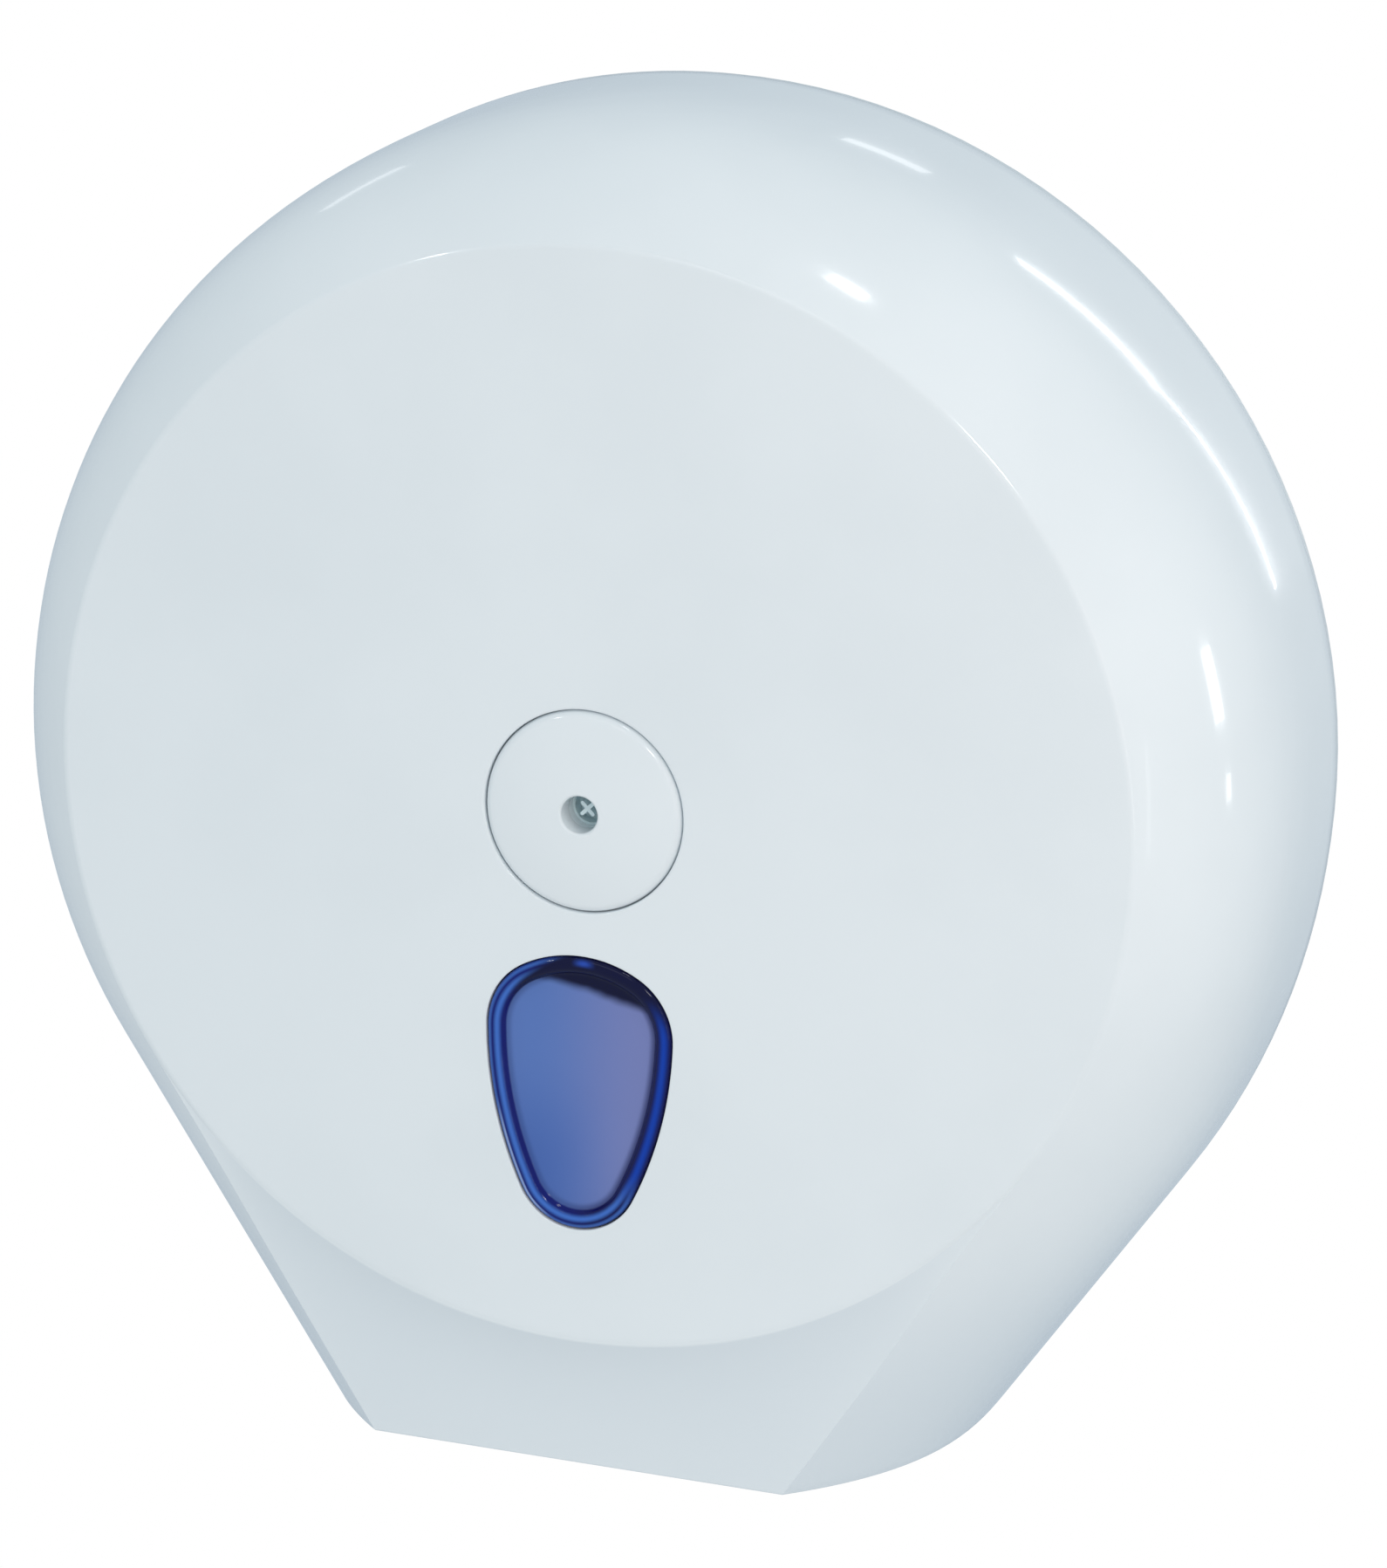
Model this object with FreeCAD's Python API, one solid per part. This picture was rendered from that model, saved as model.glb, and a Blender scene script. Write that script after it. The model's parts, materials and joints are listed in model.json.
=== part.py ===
import FreeCAD, Part
import math
import os

# Jumbo toilet roll dispenser for a wall. Millimetres, +Z up, front towards -Y.
# The origin lies on the wall plane, at the centre of the cover's round outline and of the four wall holes.
# Distances called "out" run forward from the wall, so a point at distance out has y = -out.
# Angles are in degrees.

Vec = FreeCAD.Vector
FORWARD = Vec(0, -1, 0)
SIDEWAYS = Vec(1, 0, 0)

# Cover outline
rim_radius = 172.5
side_radius = 198.0
disc_edge_radius = 145.3
flank_angle = 34.0
bottom_drop = 181.5

# Cover depths and walls
plate_thickness = 3.5
rim_gap = 0.5
cover_depth = 98.0
cover_wall = 3.0
disc_step = 0.8
disc_ledge = 0.6
disc_rounding = 0.6
disc_pocket_inset = 8.0
chin_setback = 4.5
chin_lean = 1.8
shoulder_power = 4.5
flank_power = 3
section_count = 12

# Lock plate and its seat in the cover
spindle_drop = 1.6
lock_plate_radius = 26.6
lock_groove = 0.35
lock_recess = 3.0
lock_plate_proud = 0.2
lock_dome = 3.2
lock_boss_height = 4.0
lock_boss_wall = 4.0
keyhole_radius = 4.9
keyhole_chamfer = 0.6

# Lock housing
barrel_radius = 14.7
barrel_clearance = 0.2
housing_flange_radius = 27.0
housing_flange = 3.0
housing_neck_radius = 13.0
housing_neck = 2.8
key_guide_length = 3.4
key_guide_radius = 5.2
housing_screw_circle = 21.0
housing_screw_count = 3
housing_screw_bite = 1.8

# Lock rotor, tongue, clip and detent
rotor_radius = 8.0
running_clearance = 0.05
face_gap = 0.1
rotor_flat_depth = 0.3
key_well_radius = 4.6
key_well_depth = 3.6
key_post_rise = 3.2
key_arm_length = 2.5
key_arm_width = 1.0
key_post_turn = 45.0
rotor_neck_radius = 3.2
clip_margin = 0.3
rotor_clip_thickness = 0.8
rotor_clip_bite = 0.8
rotor_clip_width = 2.6
rotor_clip_mouth = 5.0
tongue_half_length = 9.5
tongue_width = 5.5
tongue_thickness = 3.0
tongue_gap = 1.5
tongue_key_width = 2.0
tongue_key_depth = 1.0
detent_half_length = 4.5
detent_thickness = 0.5
detent_width = 2.0
detent_lift = 0.12
detent_room = 0.3

# Keeper on the spindle's end
keeper_gap = 0.7
keeper_plate = 2.5
keeper_radius = 19.0
keeper_spigot = 5.0
keeper_spigot_wall = 1.9
keeper_slot_side_clearance = 1.5
keeper_slot_above = 0.85
keeper_slot_below = 4.65
keeper_screw_circle = 16.0

# Spindle post and core hub
seat_height = 2.0
post_flange = 3.0
post_flange_radius = 38.0
post_radius = 18.0
post_bore_radius = 14.0
post_screw_circle = 31.0
post_screw_count = 3
post_screw_bite = 3.5
nose_length = 6.0
brake_thickness = 2.9
brake_radius = 25.0
brake_clearance = 0.3
bush_wall = 2.0
bush_length = 10.0
hub_inner_wall = 2.5
hub_outer_wall = 2.5
hub_radius = 28.5
hub_flange = 2.5
hub_flange_radius = 60.0
hub_spigot_step = 1.0
hub_flange_hole_radius = 9.0
hub_flange_hole_circle = 44.0
hub_rib_count = 6
hub_rib_thickness = 2.0
circlip_thickness = 1.2
circlip_groove_depth = 1.0
circlip_width = 4.0
circlip_gap = 0.6
circlip_mouth = 12.0

# Window in the cover, an egg shape made of tangent arcs
window_top_drop = 40.2
window_corner_radius = 19.1
window_corner_spread = 6.4
window_corner_drop = 61.0
window_side_radius = 104.0
window_bottom_radius = 17.0
window_bottom_drop = 97.6
window_clearance = 0.25
window_proud = 0.4
window_border = 5.0
window_dish = 1.5
window_pane = 2.0
window_flange = 1.8
window_flange_width = 7.0
window_back_border = 4.0
window_bead_rounding = 1.1
window_pin_radius = 1.5
window_pin_offset = 3.6
window_pin_length = 4.2
window_pin_clearance = 0.2
window_top_pin_angle = 35.0
window_bottom_pin_angle = -30.0
window_clip_radius = 3.6
window_clip_thickness = 0.5

# Tear bar
tear_bar_half_length = 48.0
tear_bar_height = 14.0
tear_bar_thickness = 1.2
tear_bar_rise = 1.0
tear_boss_height = 4.0
tear_boss_radius = 4.0
tear_boss_spread = 36.0
tooth_pitch = 4.0
tooth_height = 3.0
tear_screw_bite = 4.5
tear_hole_clearance = 0.2

# Hinge between cover and back plate
hinge_out = 16.0
hinge_rise = 9.0
hinge_pin_radius = 2.5
hinge_knuckle_radius = 6.0
ear_inner_x = 64.5
ear_outer_x = 72.5
hinge_side_gap = 0.5
hinge_pin_engagement = 14.0
hinge_pin_end_gap = 1.0

# Back plate
plate_inset = 0.9
tongue_plate_rise = 3.0
lip_clearance = 1.0
lip_wall = 2.5
lip_height = 10.0
lip_end_drop = 75.0
wall_hole_radius = 2.75
wall_hole_spacing_x = 160.0
wall_hole_spacing_z = 160.0
wall_boss_radius = 11.0
wall_boss_height = 3.0
wall_screw_head_radius = 5.5
wall_screw_head_depth = 3.0
ring_rib_radius = 120.0
rib_thickness = 2.0
rib_height = 3.0
radial_rib_count = 8

# Screws, by shank radius, head radius, head height and recess
small_screw_radius = 1.2
small_head_radius = 2.5
small_head_height = 1.6
screw_radius = 1.5
screw_head_radius = 3.0
screw_head_height = 1.8
post_screw_radius = 2.0
post_head_radius = 4.0
post_head_height = 2.4
screw_hole_clearance = 0.2
recess_length_share = 1.1
recess_width_share = 0.28
recess_depth_share = 0.55

# Cuts run this far past the face that they open
overrun = 1.0
# Two places this close together count as one
same_place = 0.001

# Places worked out from the sizes above
rim_out = plate_thickness + rim_gap
rim_flank_reach = side_radius + (rim_radius - side_radius) * math.cos(math.radians(flank_angle))
disc_out = rim_out + cover_depth
shoulder_out = disc_out - disc_step
chin_out = disc_out - chin_setback
chin_inner_out = chin_out - cover_wall
disc_inner_out = disc_out - cover_wall
spindle_z = -spindle_drop
lock_floor_out = disc_out - lock_recess
lock_boss_out = disc_inner_out - lock_boss_height
lock_boss_radius = lock_plate_radius + lock_boss_wall
housing_flange_out = lock_boss_out - housing_flange
housing_back_out = housing_flange_out - housing_neck
housing_front_out = lock_floor_out - face_gap
housing_step_out = housing_front_out - key_guide_length
rotor_bore_radius = rotor_radius + running_clearance
rotor_clip_out = housing_back_out + clip_margin
rotor_back_out = rotor_clip_out + rotor_clip_thickness + face_gap
rotor_front_out = housing_step_out - face_gap
keeper_front_out = housing_back_out - keeper_gap
post_end_out = keeper_front_out - keeper_plate
tongue_front_out = post_end_out - tongue_gap
tongue_back_out = tongue_front_out - tongue_thickness
seat_out = plate_thickness + seat_height
post_flange_out = seat_out + post_flange
hub_back_out = post_flange_out + brake_thickness + face_gap
hub_flange_out = hub_back_out + hub_flange
hub_front_out = post_end_out - nose_length
circlip_out = hub_front_out + circlip_gap
circlip_end_out = circlip_out + circlip_thickness
keeper_screw_tip_out = circlip_end_out + circlip_gap
bush_bore_radius = post_radius + running_clearance
bush_outer_radius = bush_bore_radius + bush_wall
hub_tube_radius = bush_outer_radius + hub_inner_wall
hub_spigot_radius = hub_radius - hub_spigot_step
hinge_z = hinge_rise - bottom_drop
knuckle_start_x = ear_outer_x + hinge_side_gap
tear_bar_out = chin_inner_out - tear_boss_height
tear_bar_bottom_z = tear_bar_rise - bottom_drop
tear_screw_z = tear_bar_bottom_z + tooth_height + tear_boss_radius
lens_flange_out = disc_inner_out - window_flange
lens_front_out = disc_out + window_proud
pane_front_out = disc_out - window_dish
pane_back_out = pane_front_out - window_pane


# Basic solids

def rod(radius, out_start, out_end, x=0, z=0):
    """A cylinder along the depth, from one distance out to another."""
    return Part.makeCylinder(radius, out_end - out_start, Vec(x, -out_start, z), FORWARD)


def tube(outer, inner, out_start, out_end, x=0, z=0):
    """A ring along the depth."""
    hole = rod(inner, out_start - overrun, out_end + overrun, x, z)
    return rod(outer, out_start, out_end, x, z).cut(hole)


def cross_rod(radius, x_start, x_end, out, z):
    """A cylinder along X."""
    return Part.makeCylinder(radius, x_end - x_start, Vec(x_start, -out, z), SIDEWAYS)


def block(x_start, x_end, out_start, out_end, z_start, z_end):
    """A box between pairs of limits."""
    corner = Vec(x_start, -out_end, z_start)
    return Part.makeBox(x_end - x_start, out_end - out_start, z_end - z_start, corner)


def prism(wire, out_start, out_end):
    """A flat outline, drawn at out_start, carried forward to out_end."""
    return Part.Face(wire).extrude(FORWARD * (out_end - out_start))


def turned(shape, angle, x=0, z=0):
    """A copy turned about an axis along the depth."""
    copy = shape.copy()
    copy.rotate(Vec(x, 0, z), FORWARD, angle)
    return copy


def mirrored(shape):
    """The shape's twin on the other side of the middle plane."""
    return shape.mirror(Vec(0, 0, 0), SIDEWAYS)


def circle_points(radius, count, x=0, z=0, start=90.0):
    """Places evenly round a circle, the first at the start angle."""
    angles = [math.radians(start + 360.0 * step / count) for step in range(count)]
    return [(x + radius * math.cos(angle), z + radius * math.sin(angle)) for angle in angles]


def joined(shapes):
    """One solid out of touching ones."""
    return shapes[0].multiFuse(shapes[1:]).removeSplitter()


def rounded_at(shape, out, radius):
    """Round off the closed edges that lie at one distance out."""
    edges = [edge for edge in shape.Edges if lies_at(edge, out)]
    return shape.makeFillet(radius, edges)


def lies_at(edge, out):
    """True for an edge whose whole length lies at one distance out."""
    box = edge.BoundBox
    return abs(box.YMin + out) < same_place and abs(box.YMax + out) < same_place


def pan_screw(radius, head_radius, head_height, length, seat, x, z, driven):
    """A pan-head screw with a cross recess. Driven is +1 forward, -1 towards the wall."""
    start, end = sorted([seat, seat + driven * length])
    shank = rod(radius, start, end, x, z)
    face = seat - driven * head_height
    head_start, head_end = sorted([seat, face])
    head = rod(head_radius, head_start, head_end, x, z)
    arm = head_radius * recess_length_share / 2
    half = head_radius * recess_width_share / 2
    floor = face + driven * head_height * recess_depth_share
    cut_start, cut_end = sorted([face - driven * overrun, floor])
    flat_arm = block(x - arm, x + arm, cut_start, cut_end, z - half, z + half)
    tall_arm = block(x - half, x + half, cut_start, cut_end, z - arm, z + arm)
    return joined([shank, head]).cut([flat_arm, tall_arm])


# Outline of the cover at one distance out from the wall

def section(out, front, inset, drop):
    """The cover's outline: a round top, lower sides of another radius, straight flanks, a flat bottom.

    It shrinks from the rim's to the disc's as the shoulder curves over to its front. The round top stays
    full for longer than the flanks do, and the sides join the two.
    """
    angle = math.radians(flank_angle)
    travel = max(0, (out - rim_out) / (front - rim_out))
    top_fullness = 1 - travel ** shoulder_power
    flank_fullness = 1 - travel ** flank_power
    top = disc_edge_radius + (rim_radius - disc_edge_radius) * top_fullness - inset
    reach = disc_edge_radius + (rim_flank_reach - disc_edge_radius) * flank_fullness - inset
    side = (reach - top * math.cos(angle)) / (1 - math.cos(angle))
    side_centre = top - side
    corner_x = (reach - drop * math.sin(angle)) / math.cos(angle)

    def on_side(turn):
        return side_centre + side * math.cos(turn), -side * math.sin(turn)

    def at(place, hand=1):
        return Vec(hand * place[0], -out, place[1])

    corner = (corner_x, -drop)
    tangent = on_side(angle)
    middle = on_side(angle / 2)
    shoulder = (top, 0)
    edges = [
        Part.LineSegment(at(corner), at(tangent)),
        Part.Arc(at(tangent), at(middle), at(shoulder)),
        Part.Arc(at(shoulder), at((0, top)), at(shoulder, -1)),
        Part.Arc(at(shoulder, -1), at(middle, -1), at(tangent, -1)),
        Part.LineSegment(at(tangent, -1), at(corner, -1)),
        Part.LineSegment(at(corner, -1), at(corner)),
    ]
    return Part.Wire([edge.toShape() for edge in edges])


def flank_x(z, inset):
    """Half the rim's width at a height on the flanks."""
    angle = math.radians(flank_angle)
    return (rim_flank_reach - inset + z * math.sin(angle)) / math.cos(angle)


def lofted(out_start, out_end, front, inset, drop):
    """The space inside the cover's outline, between two distances out."""
    shares = [math.sin(math.pi / 2 * step / (section_count - 1)) for step in range(section_count)]
    outs = [out_start + (out_end - out_start) * share for share in shares]
    return Part.makeLoft([section(out, front, inset, drop) for out in outs], True, False)


# Outline of the window

def window_outline(offset, out):
    """The egg-shaped window, grown by an offset: a broad top, round corners and a narrow foot."""
    corner = (window_corner_spread, -window_corner_drop)
    foot = (0, -window_bottom_drop)
    lift = window_corner_drop - window_top_drop
    top_radius = (window_corner_spread ** 2 + lift ** 2 - window_corner_radius ** 2)
    top_radius = top_radius / (2 * (lift - window_corner_radius))
    top = (0, -window_top_drop - top_radius)
    side = side_arc_centre(corner, foot)

    def along(centre, towards, radius):
        """The point on a circle in the direction from its centre to another place."""
        span = math.hypot(towards[0] - centre[0], towards[1] - centre[1])
        step = (radius + offset) / span
        return centre[0] + (towards[0] - centre[0]) * step, centre[1] + (towards[1] - centre[1]) * step

    def between(centre, radius, first, last):
        """The middle point of an arc on a circle."""
        middle = ((first[0] + last[0]) / 2, (first[1] + last[1]) / 2)
        return along(centre, middle, radius)

    crown = along(top, corner, top_radius)
    hip = along(side, corner, window_side_radius)
    heel = along(side, foot, window_side_radius)

    def at(place, hand=1):
        return Vec(hand * place[0], -out, place[1])

    hip_middle = between(corner, window_corner_radius, crown, hip)
    side_middle = between(side, window_side_radius, hip, heel)
    arcs = [
        Part.Arc(at(crown, -1), at((0, offset - window_top_drop)), at(crown)),
        Part.Arc(at(crown), at(hip_middle), at(hip)),
        Part.Arc(at(hip), at(side_middle), at(heel)),
        Part.Arc(at(heel), at((0, foot[1] - window_bottom_radius - offset)), at(heel, -1)),
        Part.Arc(at(heel, -1), at(side_middle, -1), at(hip, -1)),
        Part.Arc(at(hip, -1), at(hip_middle, -1), at(crown, -1)),
    ]
    return Part.Wire([arc.toShape() for arc in arcs])


def side_arc_centre(corner, foot):
    """The centre of the long side arc that touches the corner's and the foot's circles from outside."""
    to_corner = window_side_radius - window_corner_radius
    to_foot = window_side_radius - window_bottom_radius
    span = math.hypot(corner[0] - foot[0], corner[1] - foot[1])
    along = (to_foot ** 2 - to_corner ** 2 + span ** 2) / (2 * span)
    across = math.sqrt(to_foot ** 2 - along ** 2)
    unit = ((corner[0] - foot[0]) / span, (corner[1] - foot[1]) / span)
    return foot[0] + along * unit[0] - across * unit[1], foot[1] + along * unit[1] + across * unit[0]


def window_pin_places():
    """Where the four pins stand that hold the lens."""
    places = []
    for spread, drop, radius, angle in (
        (window_corner_spread, window_corner_drop, window_corner_radius, window_top_pin_angle),
        (0, window_bottom_drop, window_bottom_radius, window_bottom_pin_angle),
    ):
        reach = radius + window_pin_offset
        x = spread + reach * math.cos(math.radians(angle))
        z = reach * math.sin(math.radians(angle)) - drop
        places += [(x, z), (-x, z)]
    return places


# Cover and what it carries

def cover_shell():
    """The one-piece moulded cover, with its seats for lock, window, tear bar and hinge."""
    envelope = lofted(rim_out, shoulder_out, shoulder_out, 0, bottom_drop)
    disc_radius = disc_edge_radius - disc_ledge
    disc = rounded_at(rod(disc_radius, chin_inner_out, disc_out), disc_out, disc_rounding)
    chin_rise = math.tan(math.radians(chin_lean)) * bottom_drop
    ahead = disc_out + overrun
    low = -bottom_drop - overrun
    wide = rim_radius + side_radius
    wedge_profile = [
        Vec(-wide, -chin_out, -bottom_drop),
        Vec(-wide, -chin_out - chin_rise, 0),
        Vec(-wide, -ahead - chin_rise, 0),
        Vec(-wide, -ahead - chin_rise, low),
        Vec(-wide, -chin_out, low),
    ]
    wedge_wire = Part.makePolygon(wedge_profile + wedge_profile[:1])
    wedge = Part.Face(wedge_wire).extrude(SIDEWAYS * (2 * wide))
    body = joined([envelope.cut(wedge), disc])

    inner_front = shoulder_out - cover_wall
    hollow = lofted(rim_out - overrun, chin_inner_out, inner_front, cover_wall, bottom_drop + overrun)
    pocket = rod(disc_edge_radius - disc_pocket_inset, chin_inner_out - overrun, disc_inner_out)
    shell = body.cut(hollow).cut(pocket)

    lock_boss = rod(lock_boss_radius, lock_boss_out, disc_inner_out + overrun, 0, spindle_z)
    pins = [
        rod(window_pin_radius, disc_inner_out - window_pin_length, disc_inner_out + overrun, x, z)
        for x, z in window_pin_places()
    ]
    tear_bosses = [
        rod(tear_boss_radius, tear_bar_out, chin_inner_out + overrun, x, tear_screw_z)
        for x in (-tear_boss_spread, tear_boss_spread)
    ]
    reach = flank_x(hinge_z, 0) + hinge_knuckle_radius
    knuckle = cross_rod(hinge_knuckle_radius, knuckle_start_x, reach, hinge_out, hinge_z)
    knuckle = knuckle.common(envelope)
    shell = joined([shell, lock_boss, knuckle, mirrored(knuckle)] + pins + tear_bosses)

    cuts = [
        rod(lock_plate_radius + lock_groove, lock_floor_out, disc_out + overrun, 0, spindle_z),
        rod(barrel_radius + barrel_clearance, lock_boss_out - overrun, disc_out, 0, spindle_z),
        prism(window_outline(0, disc_inner_out - overrun), disc_inner_out - overrun, disc_out + overrun),
    ]
    hole_radius = screw_radius + screw_hole_clearance
    for x, z in circle_points(housing_screw_circle, housing_screw_count, 0, spindle_z):
        cuts.append(rod(hole_radius, lock_boss_out - overrun, disc_out, x, z))
    for x in (-tear_boss_spread, tear_boss_spread):
        end = tear_bar_out - tear_bar_thickness + tear_screw_length()
        cuts.append(rod(small_screw_radius, tear_bar_out - overrun, end, x, tear_screw_z))
    bore_end = knuckle_start_x + hinge_pin_engagement + hinge_pin_end_gap
    bore = cross_rod(hinge_pin_radius + running_clearance, ear_inner_x, bore_end, hinge_out, hinge_z)
    cuts += [bore, mirrored(bore)]
    return shell.cut(cuts)


def window_lens():
    """The tinted window: a raised border round a dished pane, with a flange behind the cover's wall."""
    body = prism(window_outline(-window_clearance, lens_flange_out), lens_flange_out, lens_front_out)
    body = rounded_at(body, lens_front_out, window_bead_rounding)
    flange = prism(window_outline(window_flange_width, lens_flange_out), lens_flange_out, disc_inner_out)
    dish = prism(window_outline(-window_border, pane_front_out), pane_front_out, lens_front_out + overrun)
    back_start = lens_flange_out - overrun
    back = prism(window_outline(-window_back_border, back_start), back_start, pane_back_out)
    hole_radius = window_pin_radius + window_pin_clearance
    holes = [rod(hole_radius, back_start, disc_inner_out, x, z) for x, z in window_pin_places()]
    return joined([body, flange]).cut([dish, back] + holes)


def window_clips():
    """Four push-on washers that hold the lens on the cover's pins."""
    start = lens_flange_out - window_clip_thickness
    return Part.makeCompound([
        tube(window_clip_radius, window_pin_radius, start, lens_flange_out, x, z)
        for x, z in window_pin_places()
    ])


def lock_plate():
    """The round, gently domed plate with the keyhole."""
    edge_out = disc_out + lock_plate_proud
    sphere_radius = (lock_plate_radius ** 2 + lock_dome ** 2) / (2 * lock_dome)
    peak_out = edge_out + lock_dome
    sphere = Part.makeSphere(sphere_radius, Vec(0, sphere_radius - peak_out, spindle_z))
    plate = rod(lock_plate_radius, lock_floor_out, peak_out + overrun, 0, spindle_z).common(sphere)
    hole = rod(keyhole_radius, lock_floor_out - overrun, peak_out + overrun, 0, spindle_z)
    chamfer_start = peak_out - keyhole_chamfer
    chamfer_end = keyhole_radius + keyhole_chamfer + overrun
    place = Vec(0, -chamfer_start, spindle_z)
    chamfer = Part.makeCone(keyhole_radius, chamfer_end, keyhole_chamfer + overrun, place, FORWARD)
    pilots = [
        rod(screw_radius, lock_floor_out - overrun, lock_floor_out + housing_screw_bite, x, z)
        for x, z in circle_points(housing_screw_circle, housing_screw_count, 0, spindle_z)
    ]
    return plate.cut([hole, chamfer] + pilots)


def lock_housing():
    """The barrel that carries the rotor, clamped behind the cover."""
    z = spindle_z
    body = joined([
        rod(housing_flange_radius, housing_flange_out, lock_boss_out, 0, z),
        rod(barrel_radius, housing_flange_out, housing_front_out, 0, z),
        rod(housing_neck_radius, housing_back_out, housing_flange_out, 0, z),
    ])
    groove_radius = rotor_bore_radius + rotor_clip_bite + face_gap
    groove_end = rotor_clip_out + rotor_clip_thickness + running_clearance
    pocket_floor = z + rotor_radius - rotor_flat_depth
    pocket_top = z + rotor_radius + detent_lift + detent_thickness + detent_room
    pocket_half = detent_half_length + face_gap
    cuts = [
        rod(rotor_bore_radius, housing_back_out - overrun, housing_step_out, 0, z),
        rod(key_guide_radius, housing_back_out, housing_front_out + overrun, 0, z),
        rod(groove_radius, rotor_clip_out - running_clearance, groove_end, 0, z),
        block(-pocket_half, pocket_half, detent_out() - face_gap, housing_step_out, pocket_floor, pocket_top),
    ]
    hole_radius = screw_radius + screw_hole_clearance
    for x, hole_z in circle_points(housing_screw_circle, housing_screw_count, 0, z):
        cuts.append(rod(hole_radius, housing_flange_out - overrun, lock_boss_out + overrun, x, hole_z))
    return body.cut(cuts)


def housing_screws():
    """Three screws that clamp housing and lock plate together through the cover."""
    length = lock_floor_out + housing_screw_bite - housing_flange_out
    return Part.makeCompound([
        pan_screw(screw_radius, screw_head_radius, screw_head_height, length, housing_flange_out, x, z, 1)
        for x, z in circle_points(housing_screw_circle, housing_screw_count, 0, spindle_z)
    ])


def tear_screw_length():
    """From under the head to the tip."""
    return tear_bar_thickness + tear_screw_bite


def tear_bar():
    """The serrated steel strip behind the cover's lower front edge."""
    top_z = tear_bar_bottom_z + tear_bar_height
    root_z = tear_bar_bottom_z + tooth_height
    count = max(int(2 * tear_bar_half_length / tooth_pitch), 1)
    start_x = -count * tooth_pitch / 2
    back_out = tear_bar_out - tear_bar_thickness
    points = [Vec(-tear_bar_half_length, -back_out, top_z), Vec(-tear_bar_half_length, -back_out, root_z)]
    for tooth in range(count):
        left = start_x + tooth * tooth_pitch
        points.append(Vec(left, -back_out, root_z))
        points.append(Vec(left + tooth_pitch / 2, -back_out, tear_bar_bottom_z))
    points.append(Vec(start_x + count * tooth_pitch, -back_out, root_z))
    points.append(Vec(tear_bar_half_length, -back_out, root_z))
    points.append(Vec(tear_bar_half_length, -back_out, top_z))
    corners = [point for index, point in enumerate(points) if index == 0 or point != points[index - 1]]
    strip = prism(Part.makePolygon(corners + corners[:1]), back_out, tear_bar_out)
    hole_radius = small_screw_radius + tear_hole_clearance
    holes = [
        rod(hole_radius, back_out - overrun, tear_bar_out + overrun, x, tear_screw_z)
        for x in (-tear_boss_spread, tear_boss_spread)
    ]
    return strip.cut(holes)


def tear_bar_screws():
    """Two screws through the tear bar into the cover's bosses."""
    seat = tear_bar_out - tear_bar_thickness
    return Part.makeCompound([
        pan_screw(small_screw_radius, small_head_radius, small_head_height, tear_screw_length(), seat,
                  x, tear_screw_z, 1)
        for x in (-tear_boss_spread, tear_boss_spread)
    ])


# Turning part of the lock

def detent_out():
    """How far out the detent spring starts."""
    middle = (rotor_back_out + rotor_front_out) / 2
    return middle - detent_width / 2


def lock_rotor():
    """The rotor: a flatted drum with a cross post for the key and a neck for the tongue."""
    z = spindle_z
    drum = rod(rotor_radius, rotor_back_out, rotor_front_out, 0, z)
    flat_limit = rotor_radius - rotor_flat_depth
    flat_end = detent_out() + detent_width + face_gap
    flat = block(-rotor_radius, rotor_radius, detent_out() - face_gap, flat_end,
                 z + flat_limit, z + rotor_radius + overrun)
    flats = [turned(flat, 90.0 * quarter, 0, z) for quarter in range(4)]
    well_floor = rotor_front_out - key_well_depth
    well = rod(key_well_radius, well_floor, rotor_front_out + overrun, 0, z)
    drum = drum.cut(flats + [well])
    post_end = rotor_front_out + key_post_rise
    half = key_arm_width / 2
    reach = key_arm_length - half
    arm = joined([
        block(-reach, reach, well_floor - overrun / 2, post_end, z - half, z + half),
        rod(half, well_floor - overrun / 2, post_end, -reach, z),
        rod(half, well_floor - overrun / 2, post_end, reach, z),
    ])
    arms = [turned(arm, key_post_turn + 90.0 * quarter, 0, z) for quarter in range(2)]
    neck = rod(rotor_neck_radius, tongue_front_out, rotor_back_out, 0, z)
    key_half = tongue_key_width / 2
    key = block(-rotor_neck_radius, rotor_neck_radius, tongue_front_out - tongue_key_depth, tongue_front_out,
                z - key_half, z + key_half)
    tab = key.common(rod(rotor_neck_radius, tongue_back_out, tongue_front_out, 0, z))
    pilot_end = tongue_front_out + tongue_thickness
    pilot = rod(small_screw_radius, tongue_back_out, pilot_end, 0, z)
    return joined([drum, neck, tab] + arms).cut(pilot)


def lock_tongue():
    """The cross bar that turns behind the keeper."""
    z = spindle_z
    half = tongue_width / 2
    bar = block(-tongue_half_length, tongue_half_length, tongue_back_out, tongue_front_out,
                z - half, z + half)
    key_half = tongue_key_width / 2
    slot_start = tongue_front_out - tongue_key_depth
    slot = block(-rotor_neck_radius, rotor_neck_radius, slot_start, tongue_front_out + overrun,
                 z - key_half, z + key_half)
    hole = rod(small_screw_radius, tongue_back_out - overrun, tongue_front_out + overrun, 0, z)
    return bar.cut([slot, hole])


def tongue_screw():
    """Holds the tongue on the rotor's neck."""
    length = 2 * tongue_thickness
    return pan_screw(small_screw_radius, small_head_radius, small_head_height, length, tongue_back_out,
                     0, spindle_z, 1)


def rotor_clip():
    """The open ring in the housing's groove that keeps the rotor in."""
    outer = rotor_bore_radius + rotor_clip_bite
    end = rotor_clip_out + rotor_clip_thickness
    ring = tube(outer, outer - rotor_clip_width, rotor_clip_out, end, 0, spindle_z)
    half = rotor_clip_mouth / 2
    low = spindle_z - outer - overrun
    mouth = block(-half, half, rotor_clip_out - overrun, end + overrun, low, spindle_z)
    return ring.cut(mouth)


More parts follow.
